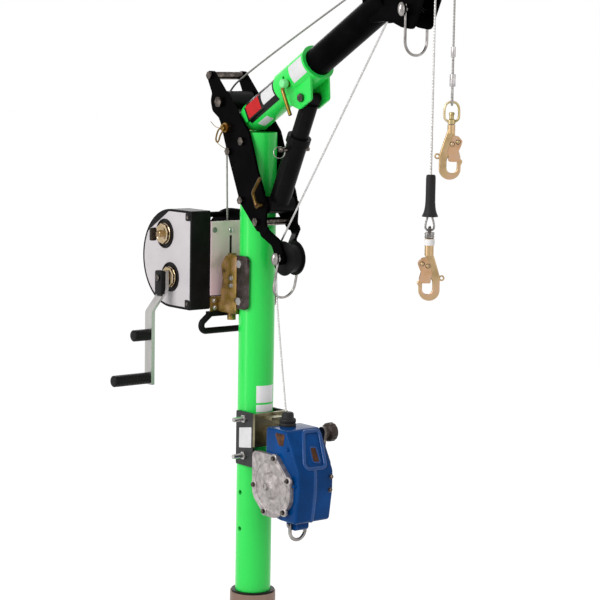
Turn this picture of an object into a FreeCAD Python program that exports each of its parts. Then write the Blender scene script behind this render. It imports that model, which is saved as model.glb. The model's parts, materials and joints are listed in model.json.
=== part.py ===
import FreeCAD, Part
import math
import os

V = FreeCAD.Vector
os.makedirs("parts", exist_ok=True)

# Mast, floor sleeve and base plate
MAST_OD = 88.9
MAST_R = MAST_OD / 2
MAST_WALL = 6.35
MAST_TOP = 1408.0
MAST_FIT = 0.6
BASE_SIZE = 300.0
BASE_T = 12.0
BASE_CORNER = 14.0
BASE_HOLE_D = 18.0
BASE_HOLE_PITCH = 230.0
LINER_T = 6.1
LINER_FLOOR = 2.0
LINER_LIP = 4.0
SLEEVE_WALL = 6.0
SLEEVE_TOP = 260.0
GUSSET_T = 8.0
GUSSET_H = 120.0
GUSSET_TOE = 14.0
GUSSET_HEAD = 12.0
GUSSET_EDGE = 20.0
BOLT_D = 12.0
BRACKET_PITCH = 92.0
BRACKET_T = 7.0

# Knee plates either side of the mast
PLATE_T = 7.0
PLATE_IN = MAST_R
PLATE_OUT = PLATE_IN + PLATE_T
PIVOT = (-62.0, 1417.0)
MAST_SHEAVE = (-90.0, 1479.0)
TIE_ROD = (-133.0, 1543.0)
STRUT_FOOT = (80.0, 1236.0)
SPACER = (62.0, 1194.0)
REAR_BOLT = (-53.0, 1359.0)
KNEE_TOP = (0.0, 1386.0)
KNEE_LOW = (0.0, 1242.0)
SPACER_WALL = 4.0
FOOT_SHEAVE = (125.5, 1109.0)
STRAP_IN = 21.5
STRAP_W = 30.0
STRAP_BEND = 9.0

# Quick-release pins with a wire bail
PIN_END = 41.0
BAIL_LEG = 32.5
BAIL_WIRE = 3.2
HANDLE_ROD_R = 4.8
BAIL_BEND = 31.5
BAIL_DROP = 101.0
FOOT_BAIL_LEAN = 14.0

# Boom, measured along its axis from the pivot and up from the axis
BOOM_ANGLE = 30.0
FORK_OD = 78.0
FORK_START = 50.0
FORK_T = 9.0
FORK_IN = FORK_OD / 2 - FORK_T
FORK_LOW = -18.0
FORK_HIGH = 14.0
FORK_WELD = 80.0
FORK_CLEAR = 5.5
SOCKET_OD = MAST_OD
SOCKET_START = 205.0
SOCKET_END = 328.0
SOCKET_LAP = 20.0
BOOM_OD = 70.0
BOOM_WALL = 5.0
BOOM_END = 620.0
EAR_IN = 24.0
EAR_T = 6.0
STRUT_TOP = (267.0, -62.0)
SPARE_HOLE = (244.0, 4.0)
SPARE_HOLE_D = 8.0
LOCK_KNOB = (249.0, -14.0)
LOCK_KNOB_R = 9.0
LOCK_LEVER_R = 4.5
LOCK_LEVER_DROP = 76.0
HEAD_TOP_SHEAVE = (839.0, 6.0)
HEAD_LOW_SHEAVE = (745.0, -22.0)
HEAD_PIN = (683.0, -66.5)
HEAD_IN = 22.5
HEAD_T = 6.0
HEAD_LAP = 60.0
HEAD_NOSE_R = 30.0

# Strut tubes
STRUT_OD = 51.0
STRUT_INNER_OD = 42.4
STRUT_FIT = 0.5
STRUT_EYE_R = 21.0
STRUT_EYE_GAP = 7.4
STRUT_COLLAR_AT = 185.0
STRUT_COLLAR_W = 18.0
STRUT_COLLAR_T = 4.0
STRUT_LOCK_AT = 150.0
STRUT_LOCK_R = 5.0
STRUT_TANG_R = 12.5
STRUT_TANG_W = 40.0
STRUT_TANG_LEN = 15.0
STRUT_TANG_PLAY = 1.4

# Ropes and sheaves
ROPE_R = 2.4
ROPE_Y = -11.0
ROPE_GAP = 0.4
SHEAVE_W = 36.0
SHEAVE_RIM = 4.0
SHEAVE_DISC = 3.0
ROLLER_R = 27.0
ROLLER_W = 76.0
FOOT_SHEAVE_R = 38.0
HEAD_TOP_R = 34.0
HEAD_LOW_R = 40.0
AXLE_D = 16.0
RUN_FIT = 0.6
ROLLER_LEAVE = 130.0
WINCH_BEND = (-63.0, 1541.0)
WINCH_BEND_R = 180.0
LIFE_BEND = (94.5, 985.0)
LIFE_BEND_R = 1500.0

# Winch on the rear of the mast
DRUM = (-184.0, 1088.0)
DRUM_ROPE_R = 76.0
DRUM_CORE_R = 40.0
DRUM_FLANGE_R = 80.0
DRUM_FLANGE_T = 5.0
DRUM_SIDE = 6.0
DRUM_AXLE_R = 12.0
WINCH_R = 123.0
WINCH_FLAT = -98.0
WINCH_CORNER = 6.0
WINCH_RIM = 6.0
WINCH_FACE_Y = -130.0
WINCH_FACE_T = 3.0
WINCH_BACK_Y = -72.0
WINCH_END_Y = 56.0
WINCH_END_T = 6.0
WINCH_ROD_R = 7.0
WINCH_ROD_AT = 107.0
MOUNT_T = 5.0
MOUNT_LOW = 1000.0
MOUNT_HIGH = 1184.0
MOUNT_HOLE = (-13.0, 1161.0)
MOUNT_SLOT = (1102.0, 1148.0)
MOUNT_SLOT_W = 7.0
BAND_LOW = 960.0
BAND_HIGH = 997.0
CLAMP_BACK = -18.0
CLAMP_FRONT = 26.0
CLAMP_FAR_FRONT = 11.0
CLAMP_TAIL = -52.0
CLAMP_OVER = 20.0
CLAMP_ROUND = 12.0
CHEEK_ROUND = 22.0
LATCH_PIN = (-66.0, -28.0)
LATCH_PIN_R = 11.0
LATCH_PIN_DROP = 20.0
HANDLE_R = 8.0
HANDLE_RAIL = 12.0
HANDLE_HALF = 117.4
HANDLE_LEG = 53.4
HANDLE_BEND = 14.0
HANDLE_DROP = 42.0
CRANK_HUB = (-186.0, 1041.0)
FREE_HUB = (-211.0, 1148.0)
HUB_R = 25.0
HUB_WELL_R = 37.0
CAP_R = 18.0
CAP_T = 13.0
CRANK_REACH = 250.0
CRANK_SHORT_REACH = 141.0
CRANK_W = 29.0
CRANK_T = 10.0
CRANK_OUT = 15.0
CRANK_STEP = 41.0
CRANK_END = 16.0
CRANK_BEND = 14.0
GRIP_R = 14.5
GRIP_LEN = 104.0
GRIP_SHORT = 46.0
GRIP_EDGE = 3.0
WINCH_BOLT_Z = 1086.0

# Lifeline reel on the front of the mast
REEL = (160.0, 564.0)
REEL_NEAR = -63.0
REEL_FAR = 44.0
REEL_TOP = 138.0
REEL_COVER_R = 75.0
REEL_BACK = -36.0
REEL_LOW = -83.0
REEL_FRONT = 95.0
REEL_COVER_T = 12.0
REEL_DOME_R = 34.0
REEL_BOLT_X = 26.0
REEL_BOLT_Z = 706.0
REEL_BOLT_OUT = 36.0
REEL_LUG = (181.0, 465.0)
REEL_LUG_HALF = 17.0
REEL_LUG_R = 4.0
REEL_RING_R = 4.5
REEL_RING_HALF = 23.5
REEL_RING_DROP = 39.0
REEL_MID_Y = -5.0
BRACKET_FRONT = 58.0
BRACKET_WEB = 8.0
OUTLET_X = 136.5
OUTLET_Z = 736.0
NECK_X = 143.5
NECK_R = 21.0
NECK_TOP_R = 14.5
NECK_STEP = 16.0
NECK_PLAY = 1.5
REEL_ARM = (22.0, 121.0)
REEL_ARM_GAP = 20.5
REEL_ARM_T = 8.0
REEL_KNOB_R = 20.0
REEL_KNOB_H = 30.0
SPARE_BOLT_Z = 515.0

# Line ends and hooks, heights above the floor
WINCH_CRIMP_TOP = 1620.0
WINCH_CRIMP_LOW = 1597.0
WINCH_EYE_LOW = 1494.3
WINCH_BOSS_LOW = 1452.0
WINCH_HOOK_TOP = 1438.0
WINCH_NECK_R = 8.5
LIFE_BUMPER_TOP = 1340.0
LIFE_BUMPER_LOW = 1247.0
LIFE_CRIMP_LOW = 1256.0
LIFE_EYE_LOW = 1217.0
LIFE_CAP_LOW = 1199.0
LIFE_HOOK_TOP = 1166.0
LIFE_NECK_R = 10.0
CRIMP_R = 6.8
EYE_WIRE = 3.0
BOW_WIRE = 3.3
EYE_HALF = 9.2
HOOK_TURN = 51.5
HOOK_T = 12.0
HOOK_EDGE = 2.5
HOOK_NECK = 8.0
HOOK_LOW = 105.6
HOOK_BACK = -25.1
HOOK_FRONT = 22.1
HOOK_MOUTH_BACK = -8.7
HOOK_MOUTH_FRONT = 13.8
HOOK_MOUTH_LOW = -91.0
GATE_PIN = (2.5, -26.0)
GATE_PIN_R = 2.5
GATE_PLATE = 1.6
GATE_GAP = 0.6


def box(x0, x1, y0, y1, z0, z1):
    return Part.makeBox(x1 - x0, y1 - y0, z1 - z0, V(x0, y0, z0))


def cyl_x(radius, x0, x1):
    return Part.makeCylinder(radius, x1 - x0, V(x0, 0, 0), V(1, 0, 0))


def cyl_y(at, radius, y0, y1):
    return Part.makeCylinder(radius, y1 - y0, V(at[0], y0, at[1]), V(0, 1, 0))


def cyl_z(x, y, radius, z0, z1):
    return Part.makeCylinder(radius, z1 - z0, V(x, y, z0), V(0, 0, 1))


# A hole right through whatever lies across Y
def bored(shape, at, radius):
    return shape.cut(cyl_y(at, radius, -BASE_SIZE, BASE_SIZE))


def tube_y(at, outer, inner, y0, y1):
    return bored(cyl_y(at, outer, y0, y1), at, inner)


def tube_z(outer, inner, z0, z1):
    return cyl_z(0, 0, outer, z0, z1).cut(cyl_z(0, 0, inner, z0, z1))


# A corner placed from a named point: offsets and the radius that rounds it
def near(at, dx, dz, radius):
    return (at[0] + dx, at[1] + dz, radius)


# A sharp corner placed on a circle round a named point
def ringed(at, radius, turn):
    return near(at, radius * math.cos(math.radians(turn)), radius * math.sin(math.radians(turn)), 0)


# Lines joined by tangent arcs: each point is (a, b, radius of the corner)
def path_edges(points, place, closed):
    count = len(points)
    starts = []
    ends = []
    middles = []
    for i in range(count):
        a, b, r = points[i]
        here = V(a, b, 0)
        if r <= 0 or (not closed and i in (0, count - 1)):
            starts.append(here)
            ends.append(here)
            middles.append(None)
            continue
        back = V(points[i - 1][0], points[i - 1][1], 0).sub(here)
        ahead = V(points[(i + 1) % count][0], points[(i + 1) % count][1], 0).sub(here)
        half = back.getAngle(ahead) / 2
        back.normalize()
        ahead.normalize()
        reach = r / math.tan(half)
        inward = back.add(ahead)
        inward.normalize()
        centre = here.add(inward.multiply(r / math.sin(half)))
        out = here.sub(centre)
        out.normalize()
        starts.append(here.add(V(back).multiply(reach)))
        ends.append(here.add(V(ahead).multiply(reach)))
        middles.append(centre.add(out.multiply(r)))
    edges = []
    for i in range(count):
        if middles[i] is not None:
            arc = Part.Arc(place(starts[i].x, starts[i].y), place(middles[i].x, middles[i].y),
                           place(ends[i].x, ends[i].y))
            edges.append(arc.toShape())
        if i < count - 1 or closed:
            p = ends[i]
            q = starts[(i + 1) % count]
            if p.sub(q).Length > 1e-6:
                edges.append(Part.LineSegment(place(p.x, p.y), place(q.x, q.y)).toShape())
    return edges


def plate_y(points, y0, y1):
    edges = path_edges(points, lambda a, b: V(a, y0, b), True)
    return Part.Face(Part.Wire(edges)).extrude(V(0, y1 - y0, 0))


# The same plate on both sides of the middle plane
def plate_pair(points, inner, thick):
    return [plate_y(points, inner, inner + thick), plate_y(points, -inner - thick, -inner)]


def rod_along(edges, radius):
    path = Part.Wire(edges)
    first = edges[0]
    start = first.valueAt(first.FirstParameter)
    along = first.tangentAt(first.FirstParameter)
    ring = Part.Wire(Part.makeCircle(radius, start, along))
    return path.makePipeShell([ring], True, False)


def spin_y(profile, at):
    points = [V(r, y, 0) for r, y in profile]
    points.append(points[0])
    body = Part.Face(Part.makePolygon(points)).revolve(V(0, 0, 0), V(0, 1, 0), 360)
    body.translate(V(at[0], 0, at[1]))
    return body


def spin_z(profile, x, y):
    points = [V(r, 0, z) for r, z in profile]
    points.append(points[0])
    body = Part.Face(Part.makePolygon(points)).revolve(V(0, 0, 0), V(0, 0, 1), 360)
    body.translate(V(x, y, 0))
    return body


def hex_y(at, across, y0, y1):
    r = across / math.sqrt(3)
    corners = [ringed(at, r, 60 * k) for k in range(6)]
    return plate_y(corners, y0, y1)


# A bolt across Y with a hexagon head on the near side and a nut on the far side
def bolt_y(at, dia, out):
    head = dia * 0.6
    body = cyl_y(at, dia / 2, -out, out)
    body = body.fuse(hex_y(at, dia * 1.5, -out - head, -out))
    return body.fuse(hex_y(at, dia * 1.5, out, out + head))


def fused(shapes):
    return shapes[0].multiFuse(shapes[1:]).removeSplitter()


def save(name, shapes):
    solids = shapes if isinstance(shapes, list) else [shapes]
    shape = solids[0] if len(solids) == 1 else Part.makeCompound(solids)
    shape.exportStep("parts/" + name + ".step")


def tilted(shape, angle, at):
    body = shape.copy()
    body.rotate(V(0, 0, 0), V(0, 1, 0), -angle)
    body.translate(V(at[0], 0, at[1]))
    return body


def to_boom(shape):
    return tilted(shape, BOOM_ANGLE, PIVOT)


def boom_point(at):
    c = math.cos(math.radians(BOOM_ANGLE))
    s = math.sin(math.radians(BOOM_ANGLE))
    return (PIVOT[0] + at[0] * c - at[1] * s, PIVOT[1] + at[0] * s + at[1] * c)


STRUT_HEAD = boom_point(STRUT_TOP)
STRUT_LEN = math.hypot(STRUT_HEAD[0] - STRUT_FOOT[0], STRUT_HEAD[1] - STRUT_FOOT[1])
STRUT_ANGLE = math.degrees(math.atan2(STRUT_HEAD[1] - STRUT_FOOT[1], STRUT_HEAD[0] - STRUT_FOOT[0]))
HEAD_TOP = boom_point(HEAD_TOP_SHEAVE)
HEAD_LOW = boom_point(HEAD_LOW_SHEAVE)


def to_strut(shape):
    return tilted(shape, STRUT_ANGLE, STRUT_FOOT)


def base():
    half = BASE_SIZE / 2
    pitch = BASE_HOLE_PITCH / 2
    corners = [(-half, -half, BASE_CORNER), (half, -half, BASE_CORNER), (half, half, BASE_CORNER),
               (-half, half, BASE_CORNER)]
    edges = path_edges(corners, lambda a, b: V(a, b, 0), True)
    plate = Part.Face(Part.Wire(edges)).extrude(V(0, 0, BASE_T))
    for x in (-pitch, pitch):
        for y in (-pitch, pitch):
            plate = plate.cut(cyl_z(x, y, BASE_HOLE_D / 2, 0, BASE_T))
    save("base_plate", plate)

    bore = MAST_R + MAST_FIT
    inner = bore + LINER_T
    outer = inner + SLEEVE_WALL
    root = inner + SLEEVE_WALL / 2
    reach = half - GUSSET_EDGE
    profile = [(root, BASE_T, 0), (reach, BASE_T, 0), (reach, BASE_T + GUSSET_TOE, 0),
               (outer + GUSSET_HEAD, BASE_T + GUSSET_H, 0), (root, BASE_T + GUSSET_H, 0)]
    parts = [tube_z(outer, inner, BASE_T, SLEEVE_TOP)]
    for k in range(4):
        blade = plate_y(profile, -GUSSET_T / 2, GUSSET_T / 2)
        blade.rotate(V(0, 0, 0), V(0, 0, 1), 90 * k)
        parts.append(blade)
    save("base_sleeve", fused(parts))

    floor = BASE_T + LINER_FLOOR
    lip = SLEEVE_TOP + LINER_LIP
    profile = [(0, BASE_T), (inner, BASE_T), (inner, SLEEVE_TOP), (root, SLEEVE_TOP), (root, lip), (bore, lip),
               (bore, floor), (0, floor)]
    save("sleeve_liner", spin_z(profile, 0, 0))


def mast():
    tube = tube_z(MAST_R, MAST_R - MAST_WALL, BASE_T + LINER_FLOOR + RUN_FIT, MAST_TOP)
    holes = [KNEE_TOP, KNEE_LOW]
    for x, z in ((0, WINCH_BOLT_Z), (REEL_BOLT_X, REEL_BOLT_Z), (0, SPARE_BOLT_Z)):
        holes += [(x, z), (x, z - BRACKET_PITCH)]
    for at in holes:
        tube = bored(tube, at, BOLT_D / 2)
    save("mast_tube", tube)


# One knee plate for the far side with its strap bent in to the foot sheave
def knee_plate():
    outline = [near(TIE_ROD, 10, 11, 9), near(TIE_ROD, -17, 12, 11), near(TIE_ROD, -14, -6, 6),
               near(TIE_ROD, 6, -43, 8), near(MAST_SHEAVE, -42, 1, 26), near(MAST_SHEAVE, -34, -23, 16),
               near(MAST_SHEAVE, -8, -39, 10), near(PIVOT, -28, 11, 10), near(REAR_BOLT, -12, 7, 20),
               near(KNEE_LOW, -6, -7, 40), near(SPACER, 0, -22, 10), near(SPACER, 42, -28, 6),
               near(STRUT_FOOT, 13, -44, 12), near(STRUT_FOOT, 16, -6, 14), near(STRUT_FOOT, 4, 32, 14),
               near(STRUT_FOOT, -22, 84, 40), near(KNEE_TOP, 40, -18, 30), near(KNEE_TOP, 22, 25, 24),
               near(PIVOT, 39, 40, 60), near(MAST_SHEAVE, 15, 27, 60)]
    plate = plate_y(outline, PLATE_IN, PLATE_OUT)

    start = near(SPACER, 24, -16, 0)
    run = math.hypot(FOOT_SHEAVE[0] - start[0], FOOT_SHEAVE[1] - start[1])
    angle = math.degrees(math.atan2(FOOT_SHEAVE[1] - start[1], FOOT_SHEAVE[0] - start[0]))
    strap = STRAP_W / 2
    out = STRAP_IN + PLATE_T
    end = run + strap
    bent = run * 0.45
    side = [(0, PLATE_IN, 0), (STRAP_BEND, PLATE_IN, STRAP_BEND), (bent, STRAP_IN, STRAP_BEND),
            (end, STRAP_IN, 0), (end, out, 0), (bent + 2, out, STRAP_BEND),
            (STRAP_BEND + 2, PLATE_OUT, STRAP_BEND), (0, PLATE_OUT, 0)]
    edges = path_edges(side, lambda a, b: V(a, b, -strap), True)
    leg = Part.Face(Part.Wire(edges)).extrude(V(0, 0, STRAP_W))
    tip = strap - 0.1
    face = [(0, -strap, 0), (end, -strap, tip), (end, strap, tip), (0, strap, 0)]
    leg = leg.common(plate_y(face, 0, PLATE_OUT))
    plate = fused([plate, tilted(leg, angle, start)])

    for at in (TIE_ROD, SPACER, REAR_BOLT, KNEE_TOP, KNEE_LOW):
        plate = bored(plate, at, BOLT_D / 2)
    for at in (MAST_SHEAVE, PIVOT, STRUT_FOOT, FOOT_SHEAVE):
        plate = bored(plate, at, AXLE_D / 2)
    return plate


def knee():
    far = knee_plate()
    save("knee_plate_far", far)
    save("knee_plate_near", far.mirror(V(0, 0, 0), V(0, 1, 0)))

    bolts = [bolt_y(at, BOLT_D, PLATE_OUT) for at in (TIE_ROD, SPACER, REAR_BOLT, KNEE_TOP, KNEE_LOW)]
    for at in (TIE_ROD, SPACER):
        bolts.append(tube_y(at, BOLT_D / 2 + SPACER_WALL, BOLT_D / 2, -PLATE_IN, PLATE_IN))
    bolts.append(bolt_y(MAST_SHEAVE, AXLE_D, PLATE_OUT))
    save("knee_bolts", bolts)

    head = AXLE_D / 2
    pin = fused([cyl_y(PIVOT, head, -PLATE_OUT - AXLE_D, PLATE_OUT + head),
                 cyl_y(PIVOT, head + SPACER_WALL, -PLATE_OUT - head, -PLATE_OUT)])
    save("boom_pivot_pin", pin)

    out = PLATE_OUT + AXLE_D
    pin = cyl_y(STRUT_FOOT, head, -out, PLATE_OUT + head)
    bend = path_edges([near(STRUT_FOOT, 0, 0, 0), near(STRUT_FOOT, -14, 29, 9), near(STRUT_FOOT, 13, 66, 0)],
                      lambda a, b: V(a, -out, b), False)
    save("strut_pivot_pin", [pin, rod_along(bend, HANDLE_ROD_R).cut(pin)])
    lock_pin(FOOT_SHEAVE, FOOT_BAIL_LEAN, "foot_lock_pin")


# A pin with domed ends and the wire bail that hangs from them
def lock_pin(at, lean, name):
    r = AXLE_D / 2
    half = [(r, PIN_END - r), (r * 0.86, PIN_END - r * 0.5), (r * 0.5, PIN_END - r * 0.14), (0, PIN_END)]
    pin = spin_y([(p, -y) for p, y in half[::-1]] + half, (0, 0))
    for y in (-BAIL_LEG, BAIL_LEG):
        pin = pin.cut(cyl_z(0, y, BAIL_WIRE, -AXLE_D, AXLE_D))
    bail = [(-BAIL_LEG, r * 1.4, 0), (-BAIL_LEG, -BAIL_DROP, BAIL_BEND), (BAIL_LEG, -BAIL_DROP, BAIL_BEND),
            (BAIL_LEG, r * 1.4, 0)]
    edges = path_edges(bail, lambda a, b: V(0, a, b), False)
    save(name, [tilted(pin, -lean, at), tilted(rod_along(edges, BAIL_WIRE), -lean, at)])


# Two thin discs with a flat groove between them
def sheave(at, pitch, name):
    rim = pitch + SHEAVE_RIM
    half = SHEAVE_W / 2
    floor = pitch - ROPE_R - ROPE_GAP
    bore = AXLE_D / 2 + RUN_FIT
    inside = half - SHEAVE_DISC
    side = [(floor, inside - 0.8), (rim - 1, inside), (rim, inside + 1), (rim, half - 1), (rim - 1, half),
            (bore, half)]
    save(name, spin_y([(r, -y) for r, y in side[::-1]] + side, at))


def roller():
    half = ROLLER_W / 2
    edge = ROLLER_R - 2
    bore = AXLE_D / 2 + RUN_FIT
    side = [(ROLLER_R, half - 2), (edge, half), (bore, half)]
    save("mast_sheave", spin_y([(r, -y) for r, y in side[::-1]] + side, MAST_SHEAVE))


def boom():
    outer = SOCKET_OD / 2
    bore = BOOM_OD / 2
    end = (FORK_HIGH - FORK_LOW) / 2 - 0.1
    weld = FORK_START + FORK_WELD
    fork = [(FORK_LOW, FORK_LOW, end), (weld, FORK_LOW, 4), (weld, FORK_HIGH, 4), (FORK_LOW, FORK_HIGH, end)]
    ear = [near(STRUT_TOP, -60, -STRUT_TOP[1] - bore / 2, 0), near(STRUT_TOP, -54, 14, 20),
           near(STRUT_TOP, -22, -20, 16), near(STRUT_TOP, 28, -20, 10), (SOCKET_END - 2, -bore / 2, 0)]
    sleeve = cyl_x(outer, SOCKET_START, SOCKET_END)
    socket = fused([sleeve, cyl_x(FORK_OD / 2, FORK_START, SOCKET_START + SOCKET_LAP)]
                   + plate_pair(fork, FORK_IN, FORK_T) + plate_pair(ear, EAR_IN, EAR_T))
    socket = socket.cut(cyl_x(bore, FORK_START, SOCKET_END))
    socket = bored(socket, (0, 0), AXLE_D / 2 + RUN_FIT / 2)
    socket = bored(socket, STRUT_TOP, BOLT_D / 2)
    socket = socket.cut(cyl_y(SPARE_HOLE, SPARE_HOLE_D / 2, -outer, 0))
    clear = MAST_R + FORK_CLEAR
    over = box(-clear, clear, -clear, clear, MAST_TOP - clear, MAST_TOP + FORK_CLEAR)
    save("boom_socket", to_boom(socket).cut(over))

    tube = cyl_x(bore, FORK_START + SOCKET_LAP, BOOM_END).cut(cyl_x(bore - BOOM_WALL, FORK_START, BOOM_END))
    lap = BOOM_END - HEAD_LAP
    tip = HEAD_TOP_SHEAVE[0] + HEAD_TOP_R
    outline = [(lap, -bore + BOOM_WALL, 6), near(HEAD_PIN, -81, 16, 10), near(HEAD_PIN, -56, -1, 6),
               near(HEAD_PIN, -36, -25, 20), near(HEAD_PIN, -5, -49, 14), near(HEAD_PIN, 53, -7, 30),
               (HEAD_TOP_SHEAVE[0] - HEAD_NOSE_R, -HEAD_NOSE_R, 20), (tip, -HEAD_NOSE_R + 6, HEAD_NOSE_R),
               (tip, HEAD_NOSE_R + 6, HEAD_NOSE_R), (BOOM_END, bore - 1, 40), (lap, bore - BOOM_WALL, 6)]
    plates = []
    for plate in plate_pair(outline, HEAD_IN, HEAD_T):
        for at in (HEAD_TOP_SHEAVE, HEAD_LOW_SHEAVE, HEAD_PIN):
            plate = bored(plate, at, AXLE_D / 2)
        plates.append(to_boom(plate))
    save("head_plates", plates)
    for side in (-1, 1):
        middle = side * (HEAD_IN + HEAD_T / 2)
        slot = box(lap - 1, BOOM_END, middle - HEAD_T / 2, middle + HEAD_T / 2, -bore, bore)
        tube = tube.cut(slot)
    save("boom_tube", to_boom(tube))

    out = HEAD_IN + HEAD_T
    bolts = [bolt_y(HEAD_TOP_SHEAVE, AXLE_D, out), bolt_y(HEAD_LOW_SHEAVE, AXLE_D, out),
             bolt_y(STRUT_TOP, BOLT_D, EAR_IN + EAR_T)]
    save("boom_bolts", [to_boom(bolt) for bolt in bolts])

    x, z = LOCK_KNOB
    knob = cyl_y(LOCK_KNOB, LOCK_KNOB_R, -outer - 1.5 * LOCK_KNOB_R, -bore).cut(sleeve)
    lever_y = -outer - 0.75 * LOCK_KNOB_R
    lever = path_edges([(x, z, 0), (x - 14, z - 9, 8), (x - 16, z - LOCK_LEVER_DROP, 0)],
                       lambda a, b: V(a, lever_y, b), False)
    save("boom_lock_knob", to_boom(fused([knob, rod_along(lever, LOCK_LEVER_R)])))
    lock_pin(boom_point(HEAD_PIN), 0, "head_lock_pin")


def strut():
    outer = STRUT_OD / 2
    inner = STRUT_INNER_OD / 2
    eye = PLATE_IN - STRUT_EYE_GAP
    lower = fused([cyl_y((0, 0), STRUT_EYE_R, -eye, eye), cyl_x(outer, STRUT_EYE_R / 2, STRUT_COLLAR_AT),
                   cyl_x(outer + STRUT_COLLAR_T, STRUT_COLLAR_AT - STRUT_COLLAR_W, STRUT_COLLAR_AT)])
    lower = lower.cut(cyl_x(inner + STRUT_FIT, STRUT_EYE_R + 3, STRUT_COLLAR_AT))
    lower = bored(lower, (0, 0), AXLE_D / 2 + RUN_FIT / 2)
    lower = bored(lower, (STRUT_LOCK_AT, 0), STRUT_LOCK_R)
    save("strut_lower", to_strut(lower))

    tip = outer + 3 * STRUT_LOCK_R
    ends = [cyl_y((STRUT_LOCK_AT, 0), STRUT_LOCK_R, inner + RUN_FIT, tip),
            cyl_y((STRUT_LOCK_AT, 0), STRUT_LOCK_R, -tip, -inner - RUN_FIT)]
    save("strut_lock_pin", [to_strut(end) for end in ends])

    shoulder = STRUT_LEN - STRUT_TANG_LEN
    tang = STRUT_TANG_W / 2
    upper = fused([cyl_x(inner, STRUT_EYE_R + 8, shoulder),
                   box(shoulder - 6, STRUT_LEN, -tang, tang, -STRUT_TANG_R, STRUT_TANG_R),
                   cyl_y((STRUT_LEN, 0), STRUT_TANG_R, -tang, tang)])
    upper = upper.cut(cyl_x(inner - STRUT_COLLAR_T, STRUT_EYE_R, shoulder - 12))
    upper = bored(upper, (STRUT_LEN, 0), BOLT_D / 2 + STRUT_TANG_PLAY)
    save("strut_upper", to_strut(upper))


# Half-round outline of the winch, flat towards the mast
def winch_outline(shrink):
    x0 = WINCH_FLAT - shrink
    r = WINCH_R - shrink
    x1 = DRUM[0] - r
    low = DRUM[1] - r
    high = DRUM[1] + r
    return [(x0, low, WINCH_CORNER), (x0, high, WINCH_CORNER), (x1, high, r - 0.5), (x1, low, r - 0.5)]


def winch():
    face_in = WINCH_FACE_Y + WINCH_FACE_T
    housing = plate_y(winch_outline(0), WINCH_FACE_Y, WINCH_BACK_Y)
    housing = housing.cut(plate_y(winch_outline(WINCH_RIM), WINCH_FACE_Y, face_in))
    housing = housing.cut(cyl_y(DRUM, DRUM_AXLE_R + RUN_FIT, WINCH_BACK_Y - 20, WINCH_BACK_Y))
    housing = housing.cut(cyl_y(CRANK_HUB, DRUM_AXLE_R + RUN_FIT, WINCH_FACE_Y, face_in + 28))
    save("winch_housing", housing)
    face = plate_y(winch_outline(WINCH_RIM), WINCH_FACE_Y, face_in)
    for hub in (CRANK_HUB, FREE_HUB):
        face = bored(face, hub, HUB_WELL_R)
    save("winch_face", face)

    end = plate_y(winch_outline(4), WINCH_END_Y, WINCH_END_Y + WINCH_END_T)
    parts = [bored(end, DRUM, DRUM_AXLE_R + RUN_FIT)]
    for turn in (108, 180, 252):
        parts.append(cyl_y(ringed(DRUM, WINCH_ROD_AT, turn), WINCH_ROD_R, WINCH_BACK_Y, WINCH_END_Y))
    save("winch_end_plate", parts)

    front = WINCH_FLAT + MOUNT_T
    side = WINCH_END_Y + WINCH_END_T
    sheet = box(WINCH_FLAT, front, WINCH_BACK_Y, side, MOUNT_LOW, MOUNT_HIGH)
    y = MOUNT_HOLE[0]
    sheet = sheet.cut(Part.makeCylinder(MOUNT_T, MOUNT_T, V(WINCH_FLAT, y, MOUNT_HOLE[1]), V(1, 0, 0)))
    half = MOUNT_SLOT_W / 2
    sheet = sheet.cut(box(WINCH_FLAT, front, y - half, y + half, MOUNT_SLOT[0], MOUNT_SLOT[1]))
    tab = box(WINCH_FLAT - 4, WINCH_FLAT, WINCH_END_Y, side, MOUNT_LOW, MOUNT_HIGH)
    save("winch_mount_plate", fused([sheet, tab]))

    save("winch_free_hub", cyl_y(FREE_HUB, HUB_R, WINCH_FACE_Y - HUB_R, face_in))
    save("winch_free_cap", cyl_y(FREE_HUB, CAP_R, WINCH_FACE_Y - HUB_R - CAP_T, WINCH_FACE_Y - HUB_R))

    mid = (WINCH_BACK_Y + WINCH_END_Y) / 2
    x = WINCH_FLAT + MOUNT_T / 2
    top = BAND_LOW - HANDLE_RAIL / 2
    leg = HANDLE_HALF - HANDLE_LEG
    low = top - HANDLE_DROP
    loop = [(mid - leg, top, 0), (mid - HANDLE_HALF, low, HANDLE_BEND), (mid + HANDLE_HALF, low, HANDLE_BEND),
            (mid + leg, top, 0)]
    edges = path_edges(loop, lambda a, b: V(x, a, b), False)
    reach = leg + HANDLE_R
    rail = box(x - HANDLE_R, x + HANDLE_R, mid - reach, mid + reach, BAND_LOW - HANDLE_RAIL, BAND_LOW)
    save("winch_carry_handle", fused([rod_along(edges, HANDLE_R), rail]))
    winch_mounting(front)
    drum()


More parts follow.
